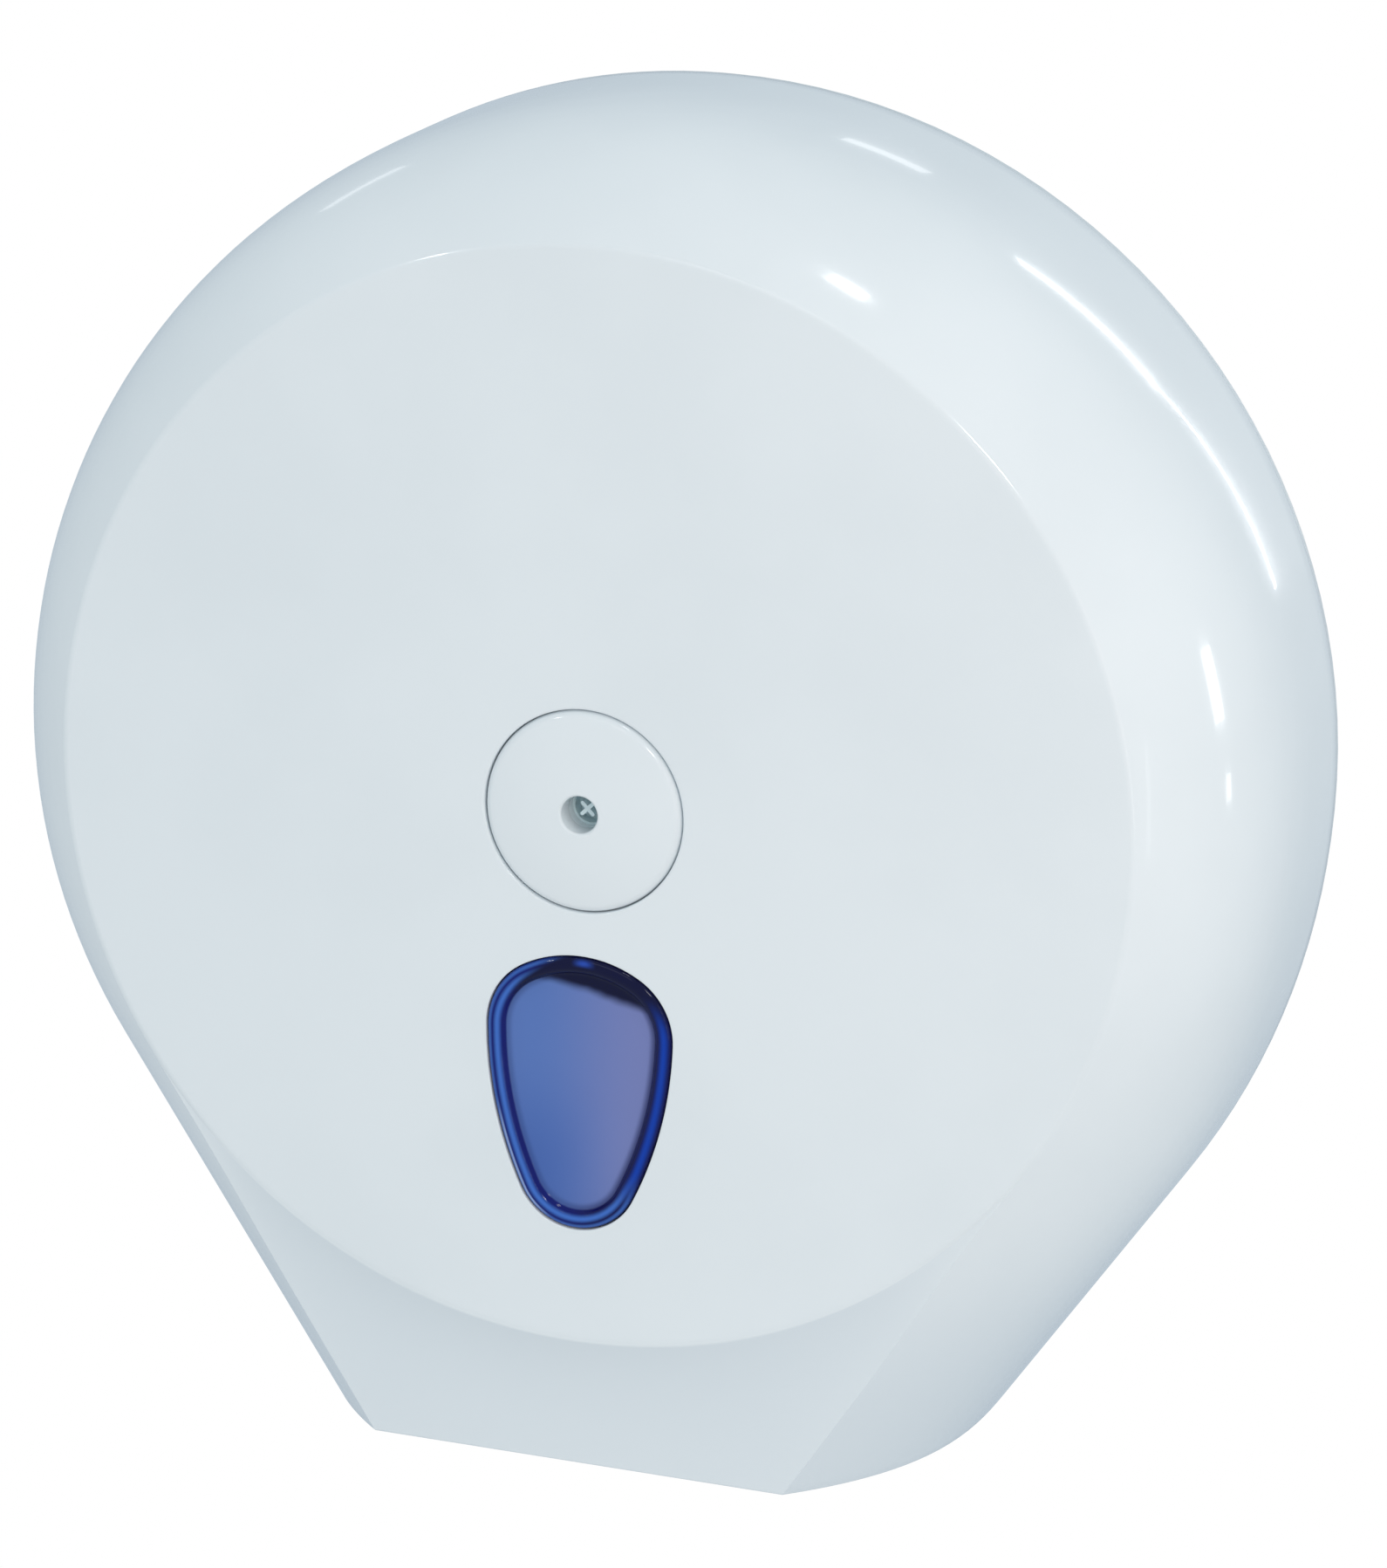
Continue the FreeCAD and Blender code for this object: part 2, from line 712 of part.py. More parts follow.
def detent_spring():
    """The leaf over the rotor's flats that marks the locked and unlocked positions."""
    low = spindle_z + rotor_radius + detent_lift
    start = detent_out()
    return block(-detent_half_length, detent_half_length, start, start + detent_width,
                 low, low + detent_thickness)


# Spindle, and the hub that turns on it

def keeper_cap():
    """The slotted cap on the spindle's end, behind which the tongue turns."""
    z = spindle_z
    spigot_radius = post_bore_radius - running_clearance
    spigot_bore = spigot_radius - keeper_spigot_wall
    body = joined([
        rod(keeper_radius, post_end_out, keeper_front_out, 0, z),
        tube(spigot_radius, spigot_bore, post_end_out - keeper_spigot, post_end_out, 0, z),
    ])
    slot_half = tongue_half_length + keeper_slot_side_clearance
    half = tongue_width / 2
    slot = block(-slot_half, slot_half, post_end_out - overrun, keeper_front_out + overrun,
                 z - half - keeper_slot_below, z + half + keeper_slot_above)
    hole_radius = small_screw_radius + screw_hole_clearance
    holes = [
        rod(hole_radius, post_end_out - overrun, keeper_front_out + overrun, x, z)
        for x in (-keeper_screw_circle, keeper_screw_circle)
    ]
    sink_start = keeper_front_out - small_head_height
    sinks = [
        rod(small_head_radius + screw_hole_clearance, sink_start, keeper_front_out + overrun, x, z)
        for x in (-keeper_screw_circle, keeper_screw_circle)
    ]
    return body.cut([slot] + holes + sinks)


def keeper_screws():
    """Two screws from the cap into the spindle's wall."""
    seat = keeper_front_out - small_head_height
    length = seat - keeper_screw_tip_out
    return Part.makeCompound([
        pan_screw(small_screw_radius, small_head_radius, small_head_height, length, seat, x, spindle_z, -1)
        for x in (-keeper_screw_circle, keeper_screw_circle)
    ])


def spindle_post():
    """The fixed hollow spindle with its screwed flange."""
    z = spindle_z
    body = joined([
        rod(post_flange_radius, seat_out, post_flange_out, 0, z),
        rod(post_radius, seat_out, post_end_out, 0, z),
    ])
    groove_floor = post_radius - circlip_groove_depth
    groove = tube(post_radius + overrun, groove_floor, circlip_out, circlip_end_out, 0, z)
    cuts = [rod(post_bore_radius, seat_out - overrun, post_end_out + overrun, 0, z), groove]
    for x in (-keeper_screw_circle, keeper_screw_circle):
        cuts.append(rod(small_screw_radius, keeper_screw_tip_out, post_end_out + overrun, x, z))
    hole_radius = post_screw_radius + screw_hole_clearance
    for x, hole_z in circle_points(post_screw_circle, post_screw_count, 0, z):
        cuts.append(rod(hole_radius, seat_out - overrun, post_flange_out + overrun, x, hole_z))
    return body.cut(cuts)


def post_screws():
    """Three screws from the spindle's flange into the back plate."""
    length = post_flange + post_screw_bite
    return Part.makeCompound([
        pan_screw(post_screw_radius, post_head_radius, post_head_height, length, post_flange_out, x, z, -1)
        for x, z in circle_points(post_screw_circle, post_screw_count, 0, spindle_z)
    ])


def core_hub():
    """The moulded hub that carries the roll's core: two sleeves joined by ribs and by an end wall."""
    z = spindle_z
    end_wall = tube(hub_spigot_radius, bush_outer_radius, hub_back_out, hub_flange_out, 0, z)
    outer = tube(hub_radius, hub_radius - hub_outer_wall, hub_flange_out, hub_front_out, 0, z)
    inner = tube(hub_tube_radius, bush_outer_radius, hub_back_out, hub_front_out, 0, z)
    half = hub_rib_thickness / 2
    rib_start = hub_tube_radius - hub_inner_wall / 2
    rib_end = hub_radius - hub_outer_wall / 2
    rib = block(rib_start, rib_end, hub_back_out, hub_front_out, z - half, z + half)
    ribs = [turned(rib, 360.0 * step / hub_rib_count, 0, z) for step in range(hub_rib_count)]
    return joined([end_wall, outer, inner] + ribs)


def hub_flange():
    """The round flange behind the roll, pressed on the hub's stepped end."""
    z = spindle_z
    holes = [
        rod(hub_flange_hole_radius, hub_back_out - overrun, hub_flange_out + overrun, x, hole_z)
        for x, hole_z in circle_points(hub_flange_hole_circle, hub_rib_count, 0, z)
    ]
    inner = hub_spigot_radius + running_clearance
    return tube(hub_flange_radius, inner, hub_back_out, hub_flange_out, 0, z).cut(holes)


def rear_bush():
    """The plain bush at the hub's wall end."""
    end = hub_back_out + bush_length
    return tube(bush_outer_radius, bush_bore_radius, hub_back_out, end, 0, spindle_z)


def front_bush():
    """The plain bush at the hub's front end."""
    start = hub_front_out - bush_length
    return tube(bush_outer_radius, bush_bore_radius, start, hub_front_out, 0, spindle_z)


def brake_washer():
    """The felt ring that drags on the hub so that the roll doesn't overrun."""
    end = post_flange_out + brake_thickness
    return tube(brake_radius, post_radius + brake_clearance, post_flange_out, end, 0, spindle_z)


def hub_circlip():
    """The open ring that keeps the hub on the spindle."""
    inner = post_radius - circlip_groove_depth
    ring = tube(inner + circlip_width, inner, circlip_out, circlip_end_out, 0, spindle_z)
    half = circlip_mouth / 2
    low = spindle_z - post_radius - circlip_width - overrun
    return ring.cut(block(-half, half, circlip_out - overrun, circlip_end_out + overrun, low, spindle_z))


# Back plate and hinge

def hinge_ear():
    """The right-hand ear that holds a hinge pin."""
    low = hinge_z - hinge_knuckle_radius
    high = hinge_z + hinge_knuckle_radius
    web = block(ear_inner_x, ear_outer_x, plate_thickness / 2, hinge_out, low, high)
    return joined([web, cross_rod(hinge_knuckle_radius, ear_inner_x, ear_outer_x, hinge_out, hinge_z)])


def hinge_pins():
    """Two short pins, fixed in the ears, on which the cover's knuckles turn."""
    end = knuckle_start_x + hinge_pin_engagement
    pin = cross_rod(hinge_pin_radius, ear_inner_x, end, hinge_out, hinge_z)
    return Part.makeCompound([pin, mirrored(pin)])


def back_plate():
    """The plate on the wall, with lip, ribs, bosses, spindle seat and hinge ears."""
    wide = rim_radius + side_radius
    plate = prism(section(rim_out, shoulder_out, plate_inset, bottom_drop), 0, plate_thickness)
    plate.translate(Vec(0, rim_out, 0))
    sweep = math.hypot(hinge_out - rim_out, hinge_rise)
    low = -bottom_drop - overrun
    notch = block(ear_outer_x, wide, -overrun, plate_thickness + overrun, low, hinge_z + sweep)
    foot = block(-wide, wide, -overrun, plate_thickness + overrun, low, tongue_plate_rise - bottom_drop)
    plate = plate.cut([notch, mirrored(notch), foot])

    lip_outer = rim_radius - cover_wall - lip_clearance
    lip = tube(lip_outer, lip_outer - lip_wall, plate_thickness / 2, plate_thickness + lip_height)
    below = block(-wide, wide, 0, disc_out, -wide, -lip_end_drop)
    lip = lip.cut(below)

    rib_half = rib_thickness / 2
    rib_out = plate_thickness + rib_height
    ring = tube(ring_rib_radius + rib_half, ring_rib_radius - rib_half, plate_thickness / 2, rib_out)
    spoke_start = post_flange_radius + lip_wall
    spoke = block(spoke_start, ring_rib_radius, plate_thickness / 2, rib_out, -rib_half, rib_half)
    step = 360.0 / radial_rib_count
    spokes = [turned(spoke, step * (index + 0.5)) for index in range(radial_rib_count)]
    seat = rod(post_flange_radius, plate_thickness / 2, seat_out, 0, spindle_z)
    hole_places = [
        (side * wall_hole_spacing_x / 2, rise * wall_hole_spacing_z / 2)
        for side in (-1, 1) for rise in (-1, 1)
    ]
    boss_out = plate_thickness + wall_boss_height
    bosses = [rod(wall_boss_radius, plate_thickness / 2, boss_out, x, z) for x, z in hole_places]
    ear = hinge_ear()
    body = joined([plate, lip, ring, seat, ear, mirrored(ear)] + spokes + bosses)

    cuts = []
    for x, z in hole_places:
        cuts.append(rod(wall_hole_radius, -overrun, boss_out + overrun, x, z))
        cuts.append(rod(wall_screw_head_radius, boss_out - wall_screw_head_depth, boss_out + overrun, x, z))
    for x, z in circle_points(post_screw_circle, post_screw_count, 0, spindle_z):
        cuts.append(rod(post_screw_radius, seat_out - post_screw_bite, seat_out + overrun, x, z))
    pin_hole = cross_rod(hinge_pin_radius, ear_inner_x - overrun, ear_outer_x + overrun, hinge_out, hinge_z)
    return body.cut(cuts + [pin_hole, mirrored(pin_hole)])


NODES = {
    "back_plate": back_plate,
    "spindle_post": spindle_post,
    "post_screws": post_screws,
    "keeper_cap": keeper_cap,
    "keeper_screws": keeper_screws,
    "brake_washer": brake_washer,
    "hub_circlip": hub_circlip,
    "hinge_pins": hinge_pins,
    "core_hub": core_hub,
    "hub_flange": hub_flange,
    "rear_bush": rear_bush,
    "front_bush": front_bush,
    "cover_shell": cover_shell,
    "window_lens": window_lens,
    "window_clips": window_clips,
    "lock_plate": lock_plate,
    "lock_housing": lock_housing,
    "housing_screws": housing_screws,
    "detent_spring": detent_spring,
    "rotor_clip": rotor_clip,
    "tear_bar": tear_bar,
    "tear_bar_screws": tear_bar_screws,
    "lock_rotor": lock_rotor,
    "lock_tongue": lock_tongue,
    "tongue_screw": tongue_screw,
}

os.makedirs("parts", exist_ok=True)
for name, make in NODES.items():
    shape = make()
    shape.exportStep("parts/" + name + ".step")
    box = shape.BoundBox
    print(name, "solids", len(shape.Solids), "volume", round(shape.Volume), "valid", shape.isValid(),
          "x", round(box.XMin, 1), round(box.XMax, 1), "y", round(box.YMin, 1), round(box.YMax, 1),
          "z", round(box.ZMin, 1), round(box.ZMax, 1))
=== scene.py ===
# %% [markdown]
# A jumbo toilet roll dispenser hangs on a wall. Its cover is one glossy moulding with a round front disc,
# curved shoulders, straight flanks and a chin. A domed lock plate and a blue window sit in the disc.
# The working parts behind it come as a fixed model. This script gives them their finishes, and builds
# finer shapes for the pieces that a visitor looks at: the cover, the lock plate and the window.

# %% Load the fixed model
import json
import math

import bmesh
import bpy
from mathutils import Matrix, Vector


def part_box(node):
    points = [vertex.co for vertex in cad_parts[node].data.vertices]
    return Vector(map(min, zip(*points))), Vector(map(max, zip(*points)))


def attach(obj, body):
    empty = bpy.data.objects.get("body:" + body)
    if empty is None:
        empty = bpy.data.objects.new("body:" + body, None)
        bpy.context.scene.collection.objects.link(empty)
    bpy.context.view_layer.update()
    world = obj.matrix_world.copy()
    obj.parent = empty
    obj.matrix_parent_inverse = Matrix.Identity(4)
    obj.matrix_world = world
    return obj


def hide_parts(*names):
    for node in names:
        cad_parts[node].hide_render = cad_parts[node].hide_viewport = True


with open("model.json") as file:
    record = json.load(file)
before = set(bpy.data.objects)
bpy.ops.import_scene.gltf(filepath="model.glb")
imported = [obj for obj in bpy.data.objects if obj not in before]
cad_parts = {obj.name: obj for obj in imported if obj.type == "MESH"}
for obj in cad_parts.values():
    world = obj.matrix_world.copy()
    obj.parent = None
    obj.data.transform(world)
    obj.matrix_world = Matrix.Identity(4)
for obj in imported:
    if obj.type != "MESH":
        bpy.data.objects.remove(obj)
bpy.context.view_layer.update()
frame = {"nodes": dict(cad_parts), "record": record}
nodes = frame["nodes"]

MM = 0.001

# %% [markdown]
# The camera stands to the right of the object and above it. Its turn, height and slight roll were fitted to
# the photograph, and it looks at a point on the front disc. A long lens keeps the perspective mild, as the
# picture shows. The lens is given for the long side of the picture.

# %% Camera
CAMERA_AZIMUTH = 18.87
CAMERA_ELEVATION = 16.51
CAMERA_ROLL = math.radians(1.40)
CAMERA_DISTANCE = 1.63912
CAMERA_AIM = Vector((-1.754, -10.621, -19.222)) * MM
FOCAL_PIXELS = 7000
PICTURE_HEIGHT = 1797
SENSOR = 36.0


def direction_of(around, up):
    """The direction that many degrees round from the front and that many up."""
    around, up = math.radians(around), math.radians(up)
    return Vector((math.sin(around) * math.cos(up), -math.cos(around) * math.cos(up), math.sin(up)))


towards_camera = direction_of(CAMERA_AZIMUTH, CAMERA_ELEVATION)
camera_data = bpy.data.cameras.new("photo_camera")
camera_data.sensor_width = SENSOR
camera_data.lens = FOCAL_PIXELS * SENSOR / PICTURE_HEIGHT
camera = bpy.data.objects.new("photo_camera", camera_data)
bpy.context.scene.collection.objects.link(camera)
turn = (-towards_camera).to_track_quat("-Z", "Y") @ Matrix.Rotation(CAMERA_ROLL, 3, "Z").to_quaternion()
camera.rotation_mode = "QUATERNION"
camera.rotation_quaternion = turn
camera.location = CAMERA_AIM + towards_camera * CAMERA_DISTANCE
bpy.context.scene.camera = camera
bpy.context.scene.view_settings.view_transform = "Standard"
print("lens", round(camera_data.lens, 1), "mm, camera at", [round(value, 3) for value in camera.location])

# %% [markdown]
# Shader trees are put together from a few kinds of node. Each helper adds a node, feeds it sockets or plain
# values, and hands back its output.

# %% Helpers for shader nodes
MIX_SHARE, MIX_FIRST, MIX_SECOND, MIX_RESULT = 0, 6, 7, 2


def feed(tree, socket, value):
    """Links an output to an input socket, or sets the input to a plain value."""
    if isinstance(value, bpy.types.NodeSocket):
        tree.links.new(value, socket)
    else:
        socket.default_value = value


def math_node(tree, operation, *values):
    """A Math node. Returns its output."""
    node = tree.nodes.new("ShaderNodeMath")
    node.operation = operation
    for socket, value in zip(node.inputs, values):
        feed(tree, socket, value)
    return node.outputs[0]


def times(tree, first, second):
    """The product of two values."""
    return math_node(tree, "MULTIPLY", first, second)


def weighted(tree, first, share, second):
    """The first value by its share plus the second by the rest."""
    return math_node(tree, "ADD", times(tree, first, share), times(tree, second, 1 - share))


def noise(tree, vector, scale, detail=2.0, roughness=0.5):
    """A Noise texture read at a vector. Returns its 0 to 1 value."""
    node = tree.nodes.new("ShaderNodeTexNoise")
    for title, value in (("Vector", vector), ("Scale", scale), ("Detail", detail), ("Roughness", roughness)):
        feed(tree, node.inputs[title], value)
    return node.outputs[0]


def map_range(tree, value, low, high, to_low=0.0, to_high=1.0, smooth=False):
    """A Map Range node. Returns its output."""
    node = tree.nodes.new("ShaderNodeMapRange")
    if smooth:
        node.interpolation_type = "SMOOTHSTEP"
    for socket, item in zip(node.inputs, (value, low, high, to_low, to_high)):
        feed(tree, socket, item)
    return node.outputs[0]


def mix_colour(tree, share, first, second):
    """Mixes two colours by a share."""
    node = tree.nodes.new("ShaderNodeMix")
    node.data_type = "RGBA"
    for index, item in ((MIX_SHARE, share), (MIX_FIRST, first), (MIX_SECOND, second)):
        feed(tree, node.inputs[index], item)
    return node.outputs[MIX_RESULT]


helpers = (feed, math_node, times, weighted, noise, map_range, mix_colour)
print("helpers", [helper.__name__ for helper in helpers])

# %% [markdown]
# The picture has a plain white ground. A wide pale floor far below the object gives that ground, and the
# world above it is a soft grey room. Both show the ground's colour to the camera and to reflections, and
# the light that they shed on the object is set apart, so that the object isn't washed out.

# %% Floor and room
FLOOR_DROP = 0.62
FLOOR_RADIUS = 40.0
FLOOR_SIDES = 96
FLOOR_PAINT = (0.80, 0.80, 0.80, 1)
GROUND_WHITE = (1, 1, 1, 1)
GROUND_IN_GLOSS = (0.45, 0.53, 0.605, 1)
ROOM_LIGHT = (0.90, 0.912, 0.912, 1)


def background_colour(tree):
    """The ground's colour, greyer in gloss than to the camera, and a mask of the rays that see it."""
    path = tree.nodes.new("ShaderNodeLightPath")
    bounced = math_node(tree, "MAXIMUM", path.outputs["Is Glossy Ray"], path.outputs["Is Transmission Ray"])
    seen = math_node(tree, "MAXIMUM", path.outputs["Is Camera Ray"], bounced)
    return mix_colour(tree, bounced, GROUND_WHITE, GROUND_IN_GLOSS), seen


bm = bmesh.new()
bmesh.ops.create_circle(bm, cap_ends=True, segments=FLOOR_SIDES, radius=FLOOR_RADIUS)
bmesh.ops.translate(bm, verts=bm.verts, vec=(0, 0, -FLOOR_DROP))
floor_mesh = bpy.data.meshes.new("floor")
bm.to_mesh(floor_mesh)
bm.free()
floor = bpy.data.objects.new("floor", floor_mesh)
bpy.context.scene.collection.objects.link(floor)

floor_paint = bpy.data.materials.new("floor_paint")
floor_paint.use_nodes = True
tree = floor_paint.node_tree
tree.nodes.clear()
matt = tree.nodes.new("ShaderNodeBsdfDiffuse")
matt.inputs["Color"].default_value = FLOOR_PAINT
shown = tree.nodes.new("ShaderNodeEmission")
blend = tree.nodes.new("ShaderNodeMixShader")
output = tree.nodes.new("ShaderNodeOutputMaterial")
ground, seen = background_colour(tree)
tree.links.new(ground, shown.inputs["Color"])
tree.links.new(seen, blend.inputs[0])
tree.links.new(matt.outputs[0], blend.inputs[1])
tree.links.new(shown.outputs[0], blend.inputs[2])
tree.links.new(blend.outputs[0], output.inputs["Surface"])
floor_mesh.materials.append(floor_paint)

world = bpy.data.worlds.new("room")
bpy.context.scene.world = world
world.use_nodes = True
tree = world.node_tree
tree.nodes.clear()
background = tree.nodes.new("ShaderNodeBackground")
output = tree.nodes.new("ShaderNodeOutputWorld")
ground, seen = background_colour(tree)
tree.links.new(mix_colour(tree, seen, ROOM_LIGHT, ground), background.inputs["Color"])
tree.links.new(background.outputs[0], output.inputs["Surface"])
print("floor", FLOOR_DROP, "m below, room light", ROOM_LIGHT[:3])

# %% [markdown]
# Glossy plastic shows the lamps themselves, so most lamps stand where their mirror image falls in the
# photograph: a window, a panel and two strips in front, a small one near the ceiling, tall and short
# windows behind to the right, and weaker lamps behind and to the left. Two soft lamps close to the object
# light it without showing in its gloss. A direction is given in degrees round from the front and up.

# %% Lamps
LAMP_DISTANCE = 2.4
NEAR = 0.7
SHOULDER_CENTRE = Vector((60, -60, 40)) * MM


def lamp(name, around, up, width, height, strength, lean=0.0, distance=LAMP_DISTANCE, shows=True,
         colour=(1, 1, 1)):
    """A rectangular area lamp that faces the object. Strength is its brightness as a surface."""
    direction = direction_of(around, up)
    data = bpy.data.lights.new(name, "AREA")
    data.shape = "RECTANGLE"
    data.size = width
    data.size_y = height
    data.energy = strength * math.pi * width * height
    data.color = colour
    made = bpy.data.objects.new(name, data)
    made.location = SHOULDER_CENTRE + direction * distance
    leaning = Matrix.Rotation(math.radians(lean), 3, "Z").to_quaternion()
    made.rotation_euler = ((-direction).to_track_quat("-Z", "Y") @ leaning).to_euler()
    made.visible_camera = False
    made.visible_glossy = shows
    bpy.context.scene.collection.objects.link(made)
    print(name, "at", [round(value, 2) for value in made.location])


lamp("soft_key_lamp", 40, 10, 0.4, 0.4, 2.2, distance=NEAR, shows=False, colour=(1, 0.735, 0.604))
lamp("soft_low_left_lamp", -100, -25, 0.4, 0.4, 0.44, distance=NEAR, shows=False, colour=(1, 0.9, 0.845))
lamp("key_window", 31, 29, 0.5, 0.12, 28)
lamp("upper_panel", -5, 32, 0.9, 0.35, 1.0)
lamp("side_strip", 43.5, 1, 0.06, 1.6, 6)
lamp("low_strip", 66, -9, 0.05, 0.7, 1.3)
lamp("ceiling_lamp", 37, 68.6, 0.17, 0.23, 14, lean=37)
lamp("tall_window", 155, 9.5, 0.021, 0.88, 13)
lamp("tall_window_top", 158.5, 27, 0.08, 0.70, 9, lean=-25)
lamp("side_window", 104.5, 4, 0.26, 0.38, 9)
lamp("low_window", 106.5, -8.7, 0.14, 0.14, 5)
lamp("rear_left_lamp", -129, 27, 0.34, 0.10, 1.1, lean=-20)
lamp("rear_top_lamp", -175, 27.4, 0.27, 0.08, 1.5)
lamp("left_lamp", -43, 31, 0.12, 0.06, 60)

# %% [markdown]
# Finishes that several materials share are built once, as groups with named sockets. A moulded plastic
# isn't one flat colour: it has faint clouding from the flow of the melt, a fine orange-peel ripple and
# hairline scratches that only show in the gloss. The group gives a colour, a roughness and a height.

# %% A helper for groups and the moulded finish
CLOUD_RANGE = (0.35, 0.7)
HAIRLINE_RANGE = (0.68, 0.76)
HAIRLINE_DEPTH = 0.2
WIPE_TURN = (0.3, 0.9, 0.2)
WIPE_STRETCH = (4.0, 60.0, 900.0)


def new_group(name, sockets_in):
    """A shader group with a colour, a roughness and a height. Each input is (name, kind, default)."""
    group = bpy.data.node_groups.new(name, "ShaderNodeTree")
    for title, kind, default in sockets_in:
        socket = group.interface.new_socket(title, in_out="INPUT", socket_type="NodeSocket" + kind)
        if default is not None:
            socket.default_value = default
    for title, kind in (("Colour", "Color"), ("Roughness", "Float"), ("Height", "Float")):
        group.interface.new_socket(title, in_out="OUTPUT", socket_type="NodeSocket" + kind)
    return group, group.nodes.new("NodeGroupInput").outputs, group.nodes.new("NodeGroupOutput").inputs


moulded, given, wanted = new_group("moulded_finish", [
    ("Vector", "Vector", None), ("Colour", "Color", (0.7, 0.75, 0.8, 1)),
    ("Cloud Colour", "Color", (0.66, 0.71, 0.76, 1)), ("Cloud Scale", "Float", 14.0),
    ("Roughness", "Float", 0.2), ("Roughness Spread", "Float", 0.04),
    ("Scratch", "Float", 0.08), ("Ripple Scale", "Float", 220.0),
])
cloud = noise(moulded, given["Vector"], given["Cloud Scale"], 3.0, 0.55)
cloud_share = map_range(moulded, cloud, *CLOUD_RANGE, smooth=True)
clouded = mix_colour(moulded, cloud_share, given["Colour"], given["Cloud Colour"])
moulded.links.new(clouded, wanted["Colour"])
wipe = moulded.nodes.new("ShaderNodeMapping")
wipe.inputs["Rotation"].default_value = WIPE_TURN
wipe.inputs["Scale"].default_value = WIPE_STRETCH
moulded.links.new(given["Vector"], wipe.inputs["Vector"])
hairlines = noise(moulded, wipe.outputs[0], 1.0, 2.0)
hairline_mask = map_range(moulded, hairlines, *HAIRLINE_RANGE)
clouding = math_node(moulded, "SUBTRACT", cloud, 0.5)
spread = times(moulded, clouding, given["Roughness Spread"])
scratched = times(moulded, hairline_mask, given["Scratch"])
total = math_node(moulded, "ADD", math_node(moulded, "ADD", given["Roughness"], spread), scratched)
moulded.links.new(total, wanted["Roughness"])
ripple = noise(moulded, given["Vector"], given["Ripple Scale"], 1.0)
height = math_node(moulded, "SUBTRACT", ripple, times(moulded, hairline_mask, HAIRLINE_DEPTH))
moulded.links.new(height, wanted["Height"])
print("group", moulded.name, "inputs", len(moulded.interface.items_tree))

# %% [markdown]
# Screws, clips and the tear strip are steel. Rolled or drawn steel has fine lines along one way, and
# zinc plating is slightly cloudy. One group gives lines by stretching a noise along a chosen axis.

# %% The drawn metal finish
LINE_SHARE = 0.45
DULL_RANGE = (0.3, 0.7)

drawn, given, wanted = new_group("drawn_finish", [
    ("Vector", "Vector", None), ("Stretch", "Vector", (40.0, 4000.0, 4000.0)),
    ("Colour", "Color", (0.6, 0.6, 0.6, 1)), ("Dull Colour", "Color", (0.45, 0.45, 0.45, 1)),
    ("Roughness", "Float", 0.3), ("Roughness Spread", "Float", 0.2),
])
stretch = drawn.nodes.new("ShaderNodeVectorMath")
stretch.operation = "MULTIPLY"
drawn.links.new(given["Vector"], stretch.inputs[0])
drawn.links.new(given["Stretch"], stretch.inputs[1])
lines = noise(drawn, stretch.outputs[0], 1.0, 2.0)
stains = noise(drawn, given["Vector"], 160.0, 3.0)
dullness = weighted(drawn, lines, LINE_SHARE, stains)
dull_share = map_range(drawn, dullness, *DULL_RANGE)
dulled = mix_colour(drawn, dull_share, given["Colour"], given["Dull Colour"])
drawn.links.new(dulled, wanted["Colour"])
metal_spread = times(drawn, dull_share, given["Roughness Spread"])
metal_roughness = math_node(drawn, "ADD", given["Roughness"], metal_spread)
drawn.links.new(metal_roughness, wanted["Roughness"])
drawn.links.new(lines, wanted["Height"])
print("group", drawn.name, "inputs", len(drawn.interface.items_tree))

# %% [markdown]
# Each material is a Principled shader fed by one of the groups. What is the same all over the surface,
# such as the clear top layer of the cover's gloss, is set on the shader's own sockets.

# %% Materials of plastic and metal
SPREAD_SHARE = 0.3
COAT_ROUGHNESS = 0.03
PLASTIC_IOR = 1.5
RIPPLE_HEIGHT = 0.1 * MM
DRAWN_BUMP = 0.15
DRAWN_HEIGHT = 0.05 * MM
# The darker colour of the cover's painted shade on the chin and at the foot of the flanks.
PAINTED_SHADE_COLOUR = (0.575, 0.655, 0.71, 1)


def start_material(name):
    """A material with a Principled shader and object coordinates."""
    material = bpy.data.materials.new(name)
    material.use_nodes = True
    tree = material.node_tree
    shader = tree.nodes["Principled BSDF"]
    place = tree.nodes.new("ShaderNodeTexCoord")
    return material, tree, shader, place.outputs["Object"]


def use_group(tree, group, shader, vector, values):
    """Feeds a shader's colour and roughness from a group with these inputs. Returns its height."""
    node = tree.nodes.new("ShaderNodeGroup")
    node.node_tree = group
    tree.links.new(vector, node.inputs["Vector"])
    for title, value in values.items():
        node.inputs[title].default_value = value
    tree.links.new(node.outputs["Colour"], shader.inputs["Base Color"])
    tree.links.new(node.outputs["Roughness"], shader.inputs["Roughness"])
    return node.outputs["Height"]


def bump(tree, shader, height, strength, distance):
    """Feeds a height into the shader's normal."""
    node = tree.nodes.new("ShaderNodeBump")
    node.inputs["Strength"].default_value = strength
    node.inputs["Distance"].default_value = distance
    tree.links.new(height, node.inputs["Height"])
    tree.links.new(node.outputs[0], shader.inputs["Normal"])


def plastic(name, colour, cloud_colour, roughness, ripple, coat=0.0):
    """A moulded plastic."""
    material, tree, shader, vector = start_material(name)
    height = use_group(tree, moulded, shader, vector, {
        "Colour": (*colour, 1), "Cloud Colour": (*cloud_colour, 1), "Roughness": roughness,
        "Roughness Spread": roughness * SPREAD_SHARE,
    })
    shader.inputs["IOR"].default_value = PLASTIC_IOR
    shader.inputs["Coat Weight"].default_value = coat
    shader.inputs["Coat Roughness"].default_value = COAT_ROUGHNESS
    bump(tree, shader, height, ripple, RIPPLE_HEIGHT)
    return material


